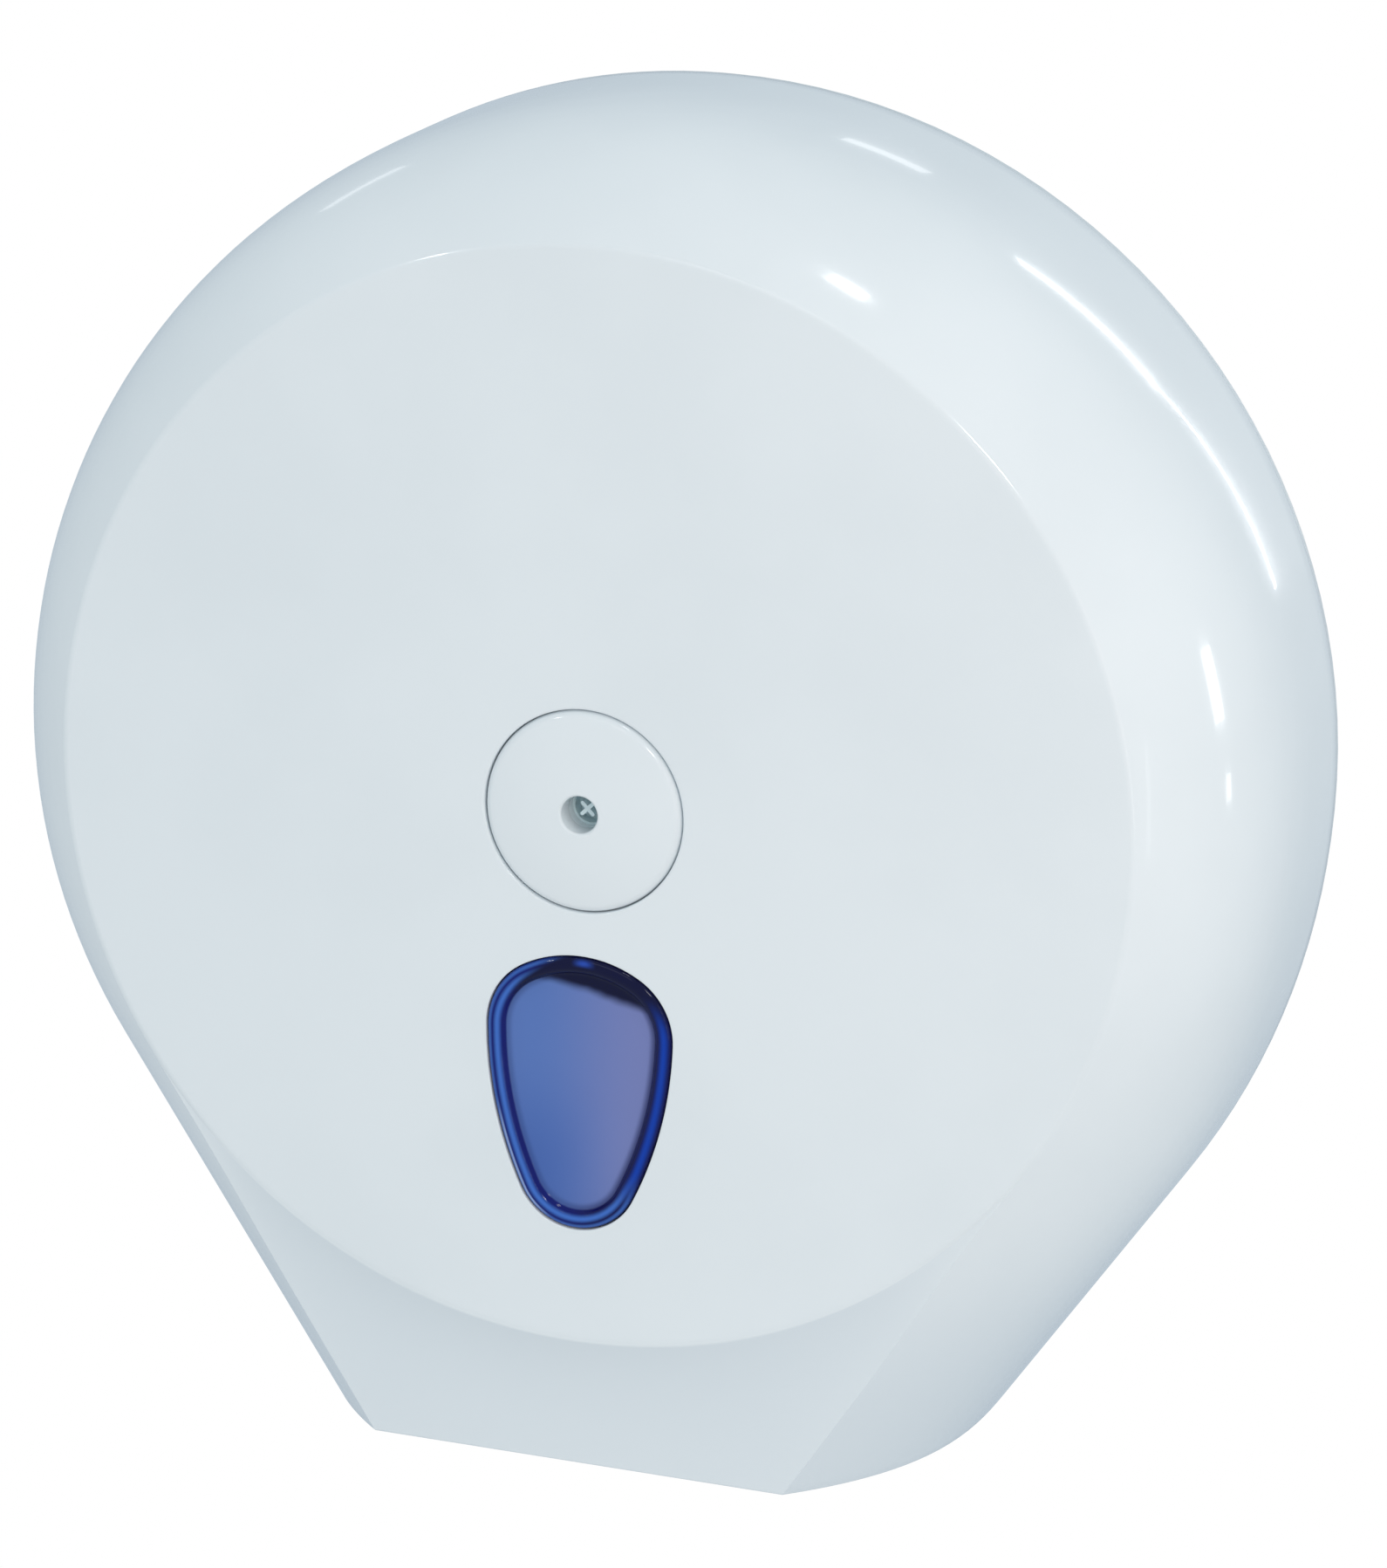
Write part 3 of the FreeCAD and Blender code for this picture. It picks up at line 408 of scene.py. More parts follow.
def metal(name, colour, dull, roughness, spread, stretch_along):
    """A drawn or rolled metal."""
    material, tree, shader, vector = start_material(name)
    height = use_group(tree, drawn, shader, vector, {
        "Colour": (*colour, 1), "Dull Colour": (*dull, 1), "Roughness": roughness,
        "Roughness Spread": spread, "Stretch": stretch_along,
    })
    shader.inputs["Metallic"].default_value = 1.0
    bump(tree, shader, height, DRAWN_BUMP, DRAWN_HEIGHT)
    return material


cover_gloss = plastic("cover_gloss", (0.645, 0.72, 0.765), (0.625, 0.70, 0.745), 0.13, coat=0.45, ripple=0.02)
# The cover's colour is mixed towards a darker one by a weight that its mesh carries: painted shade on the
# chin and at the foot of the flanks.
tree = cover_gloss.node_tree
shader = tree.nodes["Principled BSDF"]
open_colour = shader.inputs["Base Color"].links[0].from_socket
painted_shade_weight = tree.nodes.new("ShaderNodeAttribute")
painted_shade_weight.attribute_name = "painted_shade"
cover_colour = mix_colour(tree, painted_shade_weight.outputs["Fac"], open_colour, PAINTED_SHADE_COLOUR)
tree.links.new(cover_colour, shader.inputs["Base Color"])
plate_satin = plastic("plate_satin", (0.50, 0.575, 0.62), (0.47, 0.545, 0.59), 0.32, ripple=0.10)
inner_grey = plastic("inner_grey", (0.73, 0.83, 0.87), (0.69, 0.79, 0.83), 0.34, ripple=0.12)
hub_grey = plastic("hub_grey", (0.42, 0.48, 0.53), (0.39, 0.45, 0.50), 0.38, ripple=0.15)
rotor_pale = plastic("rotor_pale", (0.74, 0.90, 0.94), (0.70, 0.86, 0.90), 0.28, ripple=0.10)
bush_natural = plastic("bush_natural", (0.78, 0.77, 0.70), (0.73, 0.72, 0.65), 0.40, ripple=0.10)
zinc = metal("zinc", (0.62, 0.63, 0.64), (0.46, 0.48, 0.50), 0.28, 0.22, (300.0, 300.0, 300.0))
spring = metal("spring", (0.22, 0.225, 0.235), (0.15, 0.15, 0.16), 0.32, 0.2, (60.0, 3000.0, 3000.0))
stainless = metal("stainless", (0.60, 0.60, 0.59), (0.50, 0.50, 0.49), 0.22, 0.18, (40.0, 3000.0, 4000.0))

# %% [markdown]
# The brake ring is pressed felt: matt, with matted fibres that stand up a little. It has no gloss, and its
# colour is a mix of lighter and darker wool.

# %% Felt
DARK_WOOL = (0.15, 0.15, 0.16, 1)
LIGHT_WOOL = (0.34, 0.34, 0.35, 1)
FIBRE_SHARE = 0.6
WOOL_RANGE = (0.3, 0.7)

felt, tree, shader, vector = start_material("felt")
fibres = noise(tree, vector, 1800.0, 4.0, 0.7)
tufts = noise(tree, vector, 260.0, 3.0, 0.6)
wool = weighted(tree, fibres, FIBRE_SHARE, tufts)
wool_share = map_range(tree, wool, *WOOL_RANGE)
tree.links.new(mix_colour(tree, wool_share, DARK_WOOL, LIGHT_WOOL), shader.inputs["Base Color"])
shader.inputs["Roughness"].default_value = 0.95
shader.inputs["Sheen Weight"].default_value = 0.3
bump(tree, shader, wool, 0.8, 0.3 * MM)

# %% [markdown]
# The window is clear plastic with a deep blue dye. Its raised border acts as a lens: it bends the light of
# the room into bright and dark bands that run along it, broad and pale on the left and at the foot, narrow
# and deep on the right, and nearly black at the top. The pane is milkier, bluer at the lower left and
# more violet on the right, and its top lies in the dark of the case. The bands would need very long
# renders if they were left to refraction, so the light and shade are painted into the window's colour by
# a measure of how far inside the outline a point lies: painted bands of light and shade along the border,
# a painted reflection at its lower left, painted shade along the pane's rim and a painted shadow over the
# pane's top.

# %% Window tint with painted light and shade
GLOSS_VEIL = (0.012, 0.014, 0.016)
SCATTERED_SHARE = 0.78
SCREEN_POWER = 2.2
BORDER_WIDTH = 5.3
OUTER_BAND = (1.0, 0.9)
OUTER_STRENGTH = 0.75
INNER_BAND = (3.1, 1.35)
DEEP_BAND = (2.2, 1.8)
PAINTED_REFLECTION_BAND = (1.3, 0.55)
PATCH_BAND = (1.7, 1.4)
PATCH_PLACE = (1.0, 3.6)
CROWN_SLANT = 3.2
PAINTED_SHADOW_SLOPE = -0.17
PAINTED_SHADOW_EDGE = -49.4
RAGGED_HEIGHT = 3.0
WINDOW_GLOSS = {
    "Roughness": 0.06, "IOR": PLASTIC_IOR, "Specular IOR Level": 0.26, "Transmission Weight": 0.25,
}


def dye_and_painted_light(*screen):
    """The paint that reads as a screen colour, 0 to 255, under the room's light and its gloss. It gives
    the window's blue dye and also the light and shade that are painted on it.
    """
    plain = [(value / 255) ** SCREEN_POWER - veil for value, veil in zip(screen, GLOSS_VEIL)]
    return tuple(max(0.0, value) / SCATTERED_SHARE for value in plain) + (1,)


def fade(tree, value, low, high, start=0.0, end=1.0):
    """A soft change from start to end as a value goes from low to high."""
    return map_range(tree, value, low, high, start, end, smooth=True)


def band(tree, value, middle, half_width):
    """A soft band round a middle value."""
    gap = math_node(tree, "ABSOLUTE", math_node(tree, "SUBTRACT", value, middle))
    return fade(tree, gap, 0.0, half_width, 1.0, 0.0)


window_tint_and_painted_light, tree, shader, vector = start_material("window_tint_and_painted_light")
split = tree.nodes.new("ShaderNodeSeparateXYZ")
tree.links.new(vector, split.inputs[0])
x_place = times(tree, split.outputs[0], 1 / MM)
z_place = times(tree, split.outputs[2], 1 / MM)
measure = tree.nodes.new("ShaderNodeAttribute")
measure.attribute_name = "inset"
inset = measure.outputs["Fac"]

# Painted light and shade: the bright and dark bands that the border bends from the room's light, broad on the
# left, deep on the right.
rightward = fade(tree, x_place, -6, 8)
right_side = times(tree, rightward, fade(tree, z_place, -108, -96))
outer_band = times(tree, band(tree, inset, *OUTER_BAND), OUTER_STRENGTH)
pale_bands = math_node(tree, "MAXIMUM", outer_band, band(tree, inset, *INNER_BAND))
left_bands = times(tree, pale_bands, math_node(tree, "SUBTRACT", 1.0, right_side))
bands = math_node(tree, "ADD", left_bands, times(tree, band(tree, inset, *DEEP_BAND), right_side))
painted_band_shade = mix_colour(tree, rightward, dye_and_painted_light(20, 40, 104), dye_and_painted_light(20, 22, 78))
painted_band_light = mix_colour(tree, right_side, dye_and_painted_light(66, 106, 186), dye_and_painted_light(20, 66, 162))
border = mix_colour(tree, bands, painted_band_shade, painted_band_light)
# A painted reflection: a pale line along the border at the lower left.
foot_left = times(tree, fade(tree, z_place, -92, -80, 1.0, 0.0), fade(tree, x_place, -12, -6, 0.65, 0.0))
painted_reflection = times(tree, band(tree, inset, *PAINTED_REFLECTION_BAND), foot_left)
border = mix_colour(tree, painted_reflection, border, dye_and_painted_light(165, 190, 232))
# Painted shade on the border's top, where it lies in the dark of the case, with a painted patch of light in
# its middle.
painted_crown_light = times(tree, band(tree, x_place, *PATCH_PLACE), band(tree, inset, *PATCH_BAND))
crown = mix_colour(tree, painted_crown_light, dye_and_painted_light(22, 20, 62), dye_and_painted_light(50, 78, 168))
crown_reach = math_node(tree, "MULTIPLY_ADD", inset, CROWN_SLANT, x_place)
crown_share = times(tree, fade(tree, z_place, -60, -48), fade(tree, crown_reach, -10, -1))
border = mix_colour(tree, crown_share, border, crown)

pane = mix_colour(tree, fade(tree, x_place, -14, 18), dye_and_painted_light(88, 116, 178), dye_and_painted_light(112, 124, 176))
low_left = times(tree, fade(tree, z_place, -100, -66, 0.8, 0.0), fade(tree, x_place, -12, 14, 1.0, 0.0))
pane = mix_colour(tree, low_left, pane, dye_and_painted_light(72, 100, 166))
# The edge of a painted shadow over the top of the pane, ragged along its length.
ragged = times(tree, math_node(tree, "SUBTRACT", noise(tree, vector, 90.0, 2.0), 0.5), RAGGED_HEIGHT)
slope = math_node(tree, "MULTIPLY_ADD", x_place, PAINTED_SHADOW_SLOPE, PAINTED_SHADOW_EDGE)
edge_gap = math_node(tree, "SUBTRACT", math_node(tree, "ADD", z_place, ragged), slope)
# Painted shade along the pane's rim.
painted_rim_shade = times(tree, fade(tree, inset, 5.2, 7.2, 1.0, 0.0), fade(tree, x_place, -8, 12, 0.35, 0.7))
pane = mix_colour(tree, painted_rim_shade, pane, dye_and_painted_light(22, 26, 84))
# The painted shadow over the pane's top goes on last.
pane = mix_colour(tree, fade(tree, edge_gap, -1.6, 1.4), pane, dye_and_painted_light(28, 24, 60))
is_pane = fade(tree, inset, BORDER_WIDTH - 0.4, BORDER_WIDTH + 0.1)
tree.links.new(mix_colour(tree, is_pane, border, pane), shader.inputs["Base Color"])
for socket, value in WINDOW_GLOSS.items():
    shader.inputs[socket].default_value = value
print("materials", len(bpy.data.materials))

# %% [markdown]
# Most working parts have the right shape already, so they only need their finish. A table says which
# material goes with which slot of the parts list, and a loop hands it to every part.

# %% Finishes for the fixed parts
finish_of_slot = {
    "cover_plastic": cover_gloss, "plate_plastic": plate_satin, "inner_plastic": inner_grey,
    "hub_plastic": hub_grey, "rotor_plastic": rotor_pale, "bush_plastic": bush_natural,
    "window_plastic": window_tint_and_painted_light, "zinc_steel": zinc, "spring_steel": spring, "stainless": stainless,
    "felt": felt,
}
slot_of_node = {row["node"]: row["material_slot"] for row in frame["record"]["subparts"]}
for name, node in nodes.items():
    node.data.materials.clear()
    node.data.materials.append(finish_of_slot[slot_of_node[name]])
print("finished nodes", len(slot_of_node))

# %% [markdown]
# The cover's outline has the same parts at every depth: a round top, lower sides of another radius,
# straight flanks at 34 degrees and a flat bottom. As the shoulder curves to the front, it shrinks from the
# rim's to the disc's, and the round top stays full for longer than the flanks do. The sizes come from the
# fixed cover where its box gives them.

# %% Cover sizes
cover_low, cover_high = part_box("cover_shell")
RIM_RADIUS = cover_high.x
RIM_OUT = -cover_high.y
DISC_OUT = -cover_low.y
BOTTOM_DROP = -cover_low.z
SHOULDER_OUT = DISC_OUT - 0.8 * MM
SIDE_RADIUS = 198.0 * MM
DISC_RADIUS = 145.3 * MM
FLANK_ANGLE = math.radians(34.0)
WALL = 3.0 * MM
CHIN_OUT = DISC_OUT - 4.5 * MM
CHIN_LEAN = math.tan(math.radians(1.8))
COVE_WIDTH = 28.0 * MM
POCKET_RADIUS = DISC_RADIUS - 8.0 * MM
POCKET_OUT = DISC_OUT - WALL
LEDGE_OUT = CHIN_OUT - WALL
SHOULDER_POWER = 4.5
FLANK_POWER = 3
RIM_REACH = SIDE_RADIUS + (RIM_RADIUS - SIDE_RADIUS) * math.cos(FLANK_ANGLE)
print("rim radius, depth, drop", [round(size / MM, 1) for size in (RIM_RADIUS, DISC_OUT, BOTTOM_DROP)])

# %% [markdown]
# The shell is grown ring by ring. Every ring has the same columns: some along the flat bottom, some up
# the flank, some round the side and some over the top. A column is a part of the outline, a share along
# that part and a side, left or right, so corners stay in line from the disc to the rim.

# %% Columns of the outline
COVER_PARTS = (("bottom", 10), ("flank", 30), ("side", 16), ("top", 48))
CORNER_ANGLE = math.radians(72.0)


def both_sides(parts):
    """Columns as (part, share, side) from (part, count) pairs, up one side and down the other."""
    half = [(part, step / count) for part, count in parts for step in range(count)]
    middle = (parts[-1][0], 1.0, 1)
    return [(*place, 1) for place in half] + [middle] + [(*place, -1) for place in reversed(half[1:])]


columns = both_sides(COVER_PARTS)


def outline_place(part, share, out, inset=0.0, front=SHOULDER_OUT):
    """x and z of a column of the cover's outline at one distance out from the wall."""
    travel = max((out - RIM_OUT) / (front - RIM_OUT), 0.0)
    top = DISC_RADIUS + (RIM_RADIUS - DISC_RADIUS) * (1 - travel ** SHOULDER_POWER) - inset
    reach = DISC_RADIUS + (RIM_REACH - DISC_RADIUS) * (1 - travel ** FLANK_POWER) - inset
    side = (reach - top * math.cos(FLANK_ANGLE)) / (1 - math.cos(FLANK_ANGLE))
    centre = top - side
    if part == "top":
        angle = math.pi / 2 * share
        return top * math.cos(angle), top * math.sin(angle)
    if part == "side":
        angle = -FLANK_ANGLE * (1 - share)
        return centre + side * math.cos(angle), side * math.sin(angle)
    tangent = (centre + side * math.cos(FLANK_ANGLE), -side * math.sin(FLANK_ANGLE))
    corner_x = (reach - BOTTOM_DROP * math.sin(FLANK_ANGLE)) / math.cos(FLANK_ANGLE)
    if part == "flank":
        return corner_x + (tangent[0] - corner_x) * share, -BOTTOM_DROP + (tangent[1] + BOTTOM_DROP) * share
    return corner_x * share, -BOTTOM_DROP


def circle_angle(part, share):
    """The angle on the disc's circle that belongs to a column."""
    if part == "top":
        return math.pi / 2 * share
    if part == "side":
        return -FLANK_ANGLE * (1 - share)
    if part == "flank":
        return -CORNER_ANGLE + (CORNER_ANGLE - FLANK_ANGLE) * share
    return -math.pi / 2 + (math.pi / 2 - CORNER_ANGLE) * share


print("columns", len(columns))

# %% [markdown]
# Below the disc the front steps back into a chin. It leans back a little towards the bottom, and near the
# disc it curves up to meet the disc's edge, like a shallow cove. The cove gives part of the soft shade that
# lies under the disc in the photograph; the rest is painted shade, a darker colour in the cover's paint.

# %% Chin surface
CHIN_EDGE_RISE = 0.65 * MM
CHIN_STARTS = 34.0
CHIN_WIDENS = 24.0
COVE_POWER = 3
SETTLING_ROUNDS = 12


def smooth_share(value):
    """0 below 0, 1 above 1, and a smooth step between."""
    value = min(max(value, 0.0), 1.0)
    return value * value * (3 - 2 * value)


def chin_weight(angle):
    """How much of the disc's edge meets the chin rather than the shoulder, by the angle."""
    below = -math.degrees(angle) if angle > -math.pi / 2 else 90.0
    return smooth_share((below - CHIN_STARTS) / CHIN_WIDENS)


def edge_out(angle):
    """How far out the disc's edge ends."""
    return SHOULDER_OUT + CHIN_EDGE_RISE * chin_weight(angle)


def chin_depth(x, z):
    """How far out the chin lies at a place below the disc."""
    plane = CHIN_OUT + CHIN_LEAN * (BOTTOM_DROP + z)
    beyond = min(max((math.hypot(x, z) - DISC_RADIUS) / COVE_WIDTH, 0.0), 1.0)
    start = edge_out(-math.asin(min(max(-z / max(math.hypot(x, z), MM), -1.0), 1.0)))
    return plane + (start - plane) * (1 - beyond) ** COVE_POWER


def front_place(part, share):
    """x, z and out of the crease where chin and flank meet, or of the disc's edge above them."""
    out = SHOULDER_OUT
    for _ in range(SETTLING_ROUNDS):
        x, z = outline_place(part, share, min(out, SHOULDER_OUT))
        out = chin_depth(x, z) if z < 0 else SHOULDER_OUT
    if part in ("bottom", "flank"):
        return x, z, out
    return x, z, SHOULDER_OUT


for part, share in (("bottom", 0.0), ("flank", 0.0), ("flank", 0.5), ("flank", 1.0), ("side", 0.5)):
    print(part, share, [round(value / MM, 1) for value in front_place(part, share)])

# %% [markdown]
# A ring is a closed row of edges. The first one comes from a circle tool, the next ones from extruding the
# last ring's edges. After each step a rule moves every new point to its place. The points carry their
# column number in a layer, which the extrusion copies, so the rule knows which point it has.

# %% Growing rings
MERGE_DISTANCE = 0.002 * MM
SHARP_ANGLE = math.radians(32.0)


def first_ring(bm, count, rule):
    """A ring of points from the circle tool, numbered and put in place by a rule."""
    number = bm.verts.layers.int.get("column") or bm.verts.layers.int.new("column")
    made = bmesh.ops.create_circle(bm, segments=count, radius=1.0)["verts"]
    edges = {edge for vert in made for edge in vert.link_edges}
    ordered = sorted(made, key=lambda vert: math.atan2(vert.co.y, vert.co.x) % (2 * math.pi))
    for index, vert in enumerate(ordered):
        vert[number] = index
        vert.co = rule(index)
    return list(edges)


def next_ring(bm, edges, rule, keep=None):
    """Extrudes a row of edges and puts the new points in place. Keep says which columns' edges go on."""
    number = bm.verts.layers.int["column"]
    if keep is not None:
        edges = [edge for edge in edges if all(keep(vert[number]) for vert in edge.verts)]
    made = bmesh.ops.extrude_edge_only(bm, edges=edges)["geom"]
    verts = [item for item in made if isinstance(item, bmesh.types.BMVert)]
    fresh = [item for item in made if isinstance(item, bmesh.types.BMEdge)]
    for vert in verts:
        vert.co = rule(vert[number])
    moved = set(verts)
    return [edge for edge in fresh if edge.verts[0] in moved and edge.verts[1] in moved]


def note_ring(row, layer, value_at):
    """Writes a value that is worked out from each point's place to a ring's points."""
    for vert in {vert for edge in row for vert in edge.verts}:
        vert[layer] = value_at(vert.co)


def spun_section(places, centre, axis, steps, closed=False):
    """The mesh that a line of places sweeps as it turns once round an axis."""
    bm = bmesh.new()
    row = [bm.verts.new(places[0])]
    for place in places[1:]:
        row.append(bmesh.ops.extrude_vert_indiv(bm, verts=[row[-1]])["verts"][0])
        row[-1].co = place
    if closed:
        bm.edges.new((row[-1], row[0]))
    bmesh.ops.spin(
        bm, geom=list(bm.verts) + list(bm.edges), cent=centre, axis=axis, angle=2 * math.pi, steps=steps,
        use_merge=True,
    )
    return bm


def finish_piece(bm, name, material, body, stands_for):
    """Merges doubles, turns faces outwards, smooths, and makes an object of the mesh."""
    bmesh.ops.remove_doubles(bm, verts=bm.verts, dist=MERGE_DISTANCE)
    bmesh.ops.recalc_face_normals(bm, faces=bm.faces)
    for face in bm.faces:
        face.smooth = True
    for edge in bm.edges:
        if len(edge.link_faces) == 2 and edge.calc_face_angle(0.0) > SHARP_ANGLE:
            edge.smooth = False
    open_edges = sum(1 for edge in bm.edges if len(edge.link_faces) != 2)
    mesh = bpy.data.meshes.new(name)
    bm.to_mesh(mesh)
    bm.free()
    mesh.materials.append(material)
    made = bpy.data.objects.new(name, mesh)
    bpy.context.scene.collection.objects.link(made)
    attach(made, body)
    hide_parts(*stands_for)
    print(name, "faces", len(mesh.polygons), "open edges", open_edges)


# %% [markdown]
# The outer skin: the flat disc's border, its rounded edge, the chin, and then the shoulder down to the
# rim. The rounded edge falls further where it meets the shoulder than where it meets the chin. Columns
# above the chin have no chin at all, so those rings fall together and are merged later. A layer notes how
# much painted shade each point gets, most of all on the chin and at the foot of the flanks: there the
# cover's colour is darkened to stand in for shade.

# %% Outer rings of the cover
EDGE_ROUND = 3.0
EDGE_TURN = math.radians(42.8)
EDGE_PARTS = 8
CHIN_SHARES = (0.02, 0.06, 0.12, 0.2, 0.3, 0.42, 0.56, 0.7, 0.84, 0.94, 0.985)
SHOULDER_RINGS = 26
RIM_ROUNDING = 0.8 * MM
RIM_STEPS = ((0.1, 0.45), (0.35, 0.15), (0.8, 0.0))
DISC_BORDER = 0.8
CHIN_DROP_CUT = 0.75
# How the painted shade fades down the chin, and where it lies at the foot of the flanks.
PAINTED_SHADE_FADE = 0.45
FOOT_PAINTED_SHADE_Z = -95 * MM
FOOT_PAINTED_SHADE_RUN = 65 * MM


def put(column, place, out):
    """A point on the column's own side."""
    return Vector((columns[column][2] * place[0], -out, place[1]))


def on_circle(column, radius):
    """x and z of a column's place on a circle round the disc's centre."""
    angle = circle_angle(*columns[column][:2])
    return radius * math.cos(angle), radius * math.sin(angle)


def between(start, end, share):
    """x and z of the place part of the way from one place to another."""
    return tuple(first * (1 - share) + last * share for first, last in zip(start, end))


def disc_rule(radius_step, fall):
    """A ring on the disc's edge. Fall is the drop, in mm, where the edge meets the shoulder."""

    def rule(column):
        drop = fall * MM * (1 - CHIN_DROP_CUT * chin_weight(circle_angle(*columns[column][:2])))
        return put(column, on_circle(column, DISC_RADIUS + radius_step * MM), DISC_OUT - drop)

    return rule


def disc_end_rule(column):
    """The ring where the disc's edge ends."""
    return put(column, on_circle(column, DISC_RADIUS), edge_out(circle_angle(*columns[column][:2])))


def chin_rule(part_way):
    """A ring on the chin, part of the way from the disc's edge to the front outline."""

    def rule(column):
        part, share, _ = columns[column]
        x, z, out = front_place(part, share)
        if part_way < 1.0:
            x, z = between(on_circle(column, DISC_RADIUS), (x, z), part_way)
            if part in ("bottom", "flank"):
                out = chin_depth(x, z)
        return put(column, (x, z), out)

    return rule


def shoulder_rule(part_way):
    """A ring on the shoulder, part of the way from the front to the rim."""

    def rule(column):
        part, share, _ = columns[column]
        start = front_place(part, share)[2]
        out = start + (RIM_OUT + RIM_ROUNDING - start) * part_way
        return put(column, outline_place(part, share, out), out)

    return rule


def rim_rule(inset, out):
    """A ring round the rim, set in from the outline."""

    def rule(column):
        part, share, _ = columns[column]
        return put(column, outline_place(part, share, out, inset), out)

    return rule


def above_bottom(column):
    """True for the columns that have a shoulder."""
    return columns[column][0] != "bottom"


def chin_painted_shade(place, part_way):
    """How much painted shade a place on the chin gets."""
    return (1 - PAINTED_SHADE_FADE * part_way) * chin_weight(math.atan2(place.z, abs(place.x)))


def foot_painted_shade(place):
    """How much painted shade a place on the shoulder gets: fully at the foot of the flanks
    and not at all above them.
    """
    return smooth_share((FOOT_PAINTED_SHADE_Z - place.z) / FOOT_PAINTED_SHADE_RUN)


edge_run = EDGE_ROUND * math.sin(EDGE_TURN)
edge_rules = [disc_rule(-edge_run - DISC_BORDER, 0.0)]
for step in range(EDGE_PARTS):
    turn = EDGE_TURN * step / EDGE_PARTS
    edge_rules.append(disc_rule(EDGE_ROUND * math.sin(turn) - edge_run, EDGE_ROUND * (1 - math.cos(turn))))
edge_rules.append(disc_end_rule)
shoulder_shares = [1 - math.cos(math.pi / 2 * step / SHOULDER_RINGS) for step in range(1, SHOULDER_RINGS + 1)]
shoulder_rules = [shoulder_rule(share) for share in shoulder_shares]
shoulder_rules += [rim_rule(inset * MM, RIM_OUT + rise * MM) for inset, rise in RIM_STEPS]

cover = bmesh.new()
# A weight for the painted shade on the chin and at the foot of the flanks.
painted_shade = cover.verts.layers.float.new("painted_shade")
outer_start = first_ring(cover, len(columns), edge_rules[0])
row = outer_start
for rule in edge_rules[1:]:
    row = next_ring(cover, row, rule)
for part_way in CHIN_SHARES + (1.0,):
    row = next_ring(cover, row, chin_rule(part_way))
    note_ring(row, painted_shade, lambda place: chin_painted_shade(place, part_way))
for rule in shoulder_rules:
    row = next_ring(cover, row, rule, keep=above_bottom)
    note_ring(row, painted_shade, foot_painted_shade)
ring_count = len(edge_rules) + len(CHIN_SHARES) + 1 + len(shoulder_rules)
print("outer rings", ring_count, "points", len(cover.verts))

# %% [markdown]
# The inner skin follows the outer one a wall's thickness inside. Behind the disc it is pocketed deeper.
# It has just as many open edges at the rim and the bottom as the outer skin, so that a bridge can close
# the wall between them.

# %% Inner rings of the cover
INNER_CHIN_SHARES = (0.25, 0.5, 0.75)
INNER_RINGS = 29


def inner_place(column, out):
    """x and z on the shoulder's inside at one distance out from the wall."""
    return outline_place(*columns[column][:2], out, WALL, SHOULDER_OUT - WALL)


def inner_disc_rule(out):
    """A ring on the wall of the pocket behind the disc."""
    return lambda column: put(column, on_circle(column, POCKET_RADIUS), out)


def inner_front_rule(part_way):
    """A ring on the flat ledge between the pocket and the inner shoulder."""

    def rule(column):
        start = on_circle(column, POCKET_RADIUS)
        return put(column, between(start, inner_place(column, LEDGE_OUT), part_way), LEDGE_OUT)

    return rule


def inner_shoulder_rule(part_way):
    """A ring on the inside of the shoulder."""
    out = LEDGE_OUT + (RIM_OUT - LEDGE_OUT) * part_way
    return lambda column: put(column, inner_place(column, out), out)


inner_start = first_ring(cover, len(columns), inner_disc_rule(POCKET_OUT))
row = next_ring(cover, inner_start, inner_disc_rule(LEDGE_OUT))
for share in INNER_CHIN_SHARES + (1.0,):
    row = next_ring(cover, row, inner_front_rule(share))
for step in range(1, INNER_RINGS + 1):
    share = 1 - math.cos(math.pi / 2 * step / INNER_RINGS)
    row = next_ring(cover, row, inner_shoulder_rule(share), keep=above_bottom)
print("points with the inner skin", len(cover.verts))

# %% [markdown]
# The round lock seat is a recess in the disc with a bore through its floor and a boss behind it. A chain of
# rings walks down the recess, through the bore and back up outside the boss, so the wall stays closed. Its
# front edge is slightly rounded, which gives the fine line round the lock plate.

# %% Lock seat
SEAT_COLUMNS = 96
SPINDLE_DROP = 1.6 * MM
SEAT_CHAIN = (
    (28.2, 102.0), (27.5, 102.0), (27.22, 101.96), (27.0, 101.82), (26.87, 101.55), (26.87, 99.3),
    (26.75, 99.0), (20.0, 99.0), (14.9, 99.0), (14.9, 95.0), (22.0, 95.0), (30.2, 95.0), (30.6, 95.4),
    (30.6, 98.8), (31.2, 99.0),
)


def round_rule(radius, out):
    """A circle round the lock's axis, in mm."""

    def rule(column):
        angle = 2 * math.pi * column / SEAT_COLUMNS
        reach = radius * MM
        return Vector((reach * math.cos(angle), -out * MM, reach * math.sin(angle) - SPINDLE_DROP))

    return rule


seat_front = first_ring(cover, SEAT_COLUMNS, round_rule(*SEAT_CHAIN[0]))
row = seat_front
for radius, out in SEAT_CHAIN[1:]:
    row = next_ring(cover, row, round_rule(radius, out))
seat_back = row
print("lock seat rings", len(SEAT_CHAIN))

# %% [markdown]
# The window is an egg shape: a broad top arc, two round corners, long side arcs and a small foot, all
# tangent to each other. Growing it by an offset only changes the arcs' radii, so every ring of the window
# and of its opening uses the same arcs.

# %% Window outline
CORNER_CENTRE = (6.4, -61.0)
CORNER_RADIUS = 19.1
WINDOW_TOP = -40.2
SIDE_ARC_RADIUS = 104.0
FOOT_CENTRE = (0.0, -97.6)
FOOT_RADIUS = 17.0
WINDOW_TURNS = (("crown", 10), ("corner", 18), ("flank", 26), ("foot", 18))

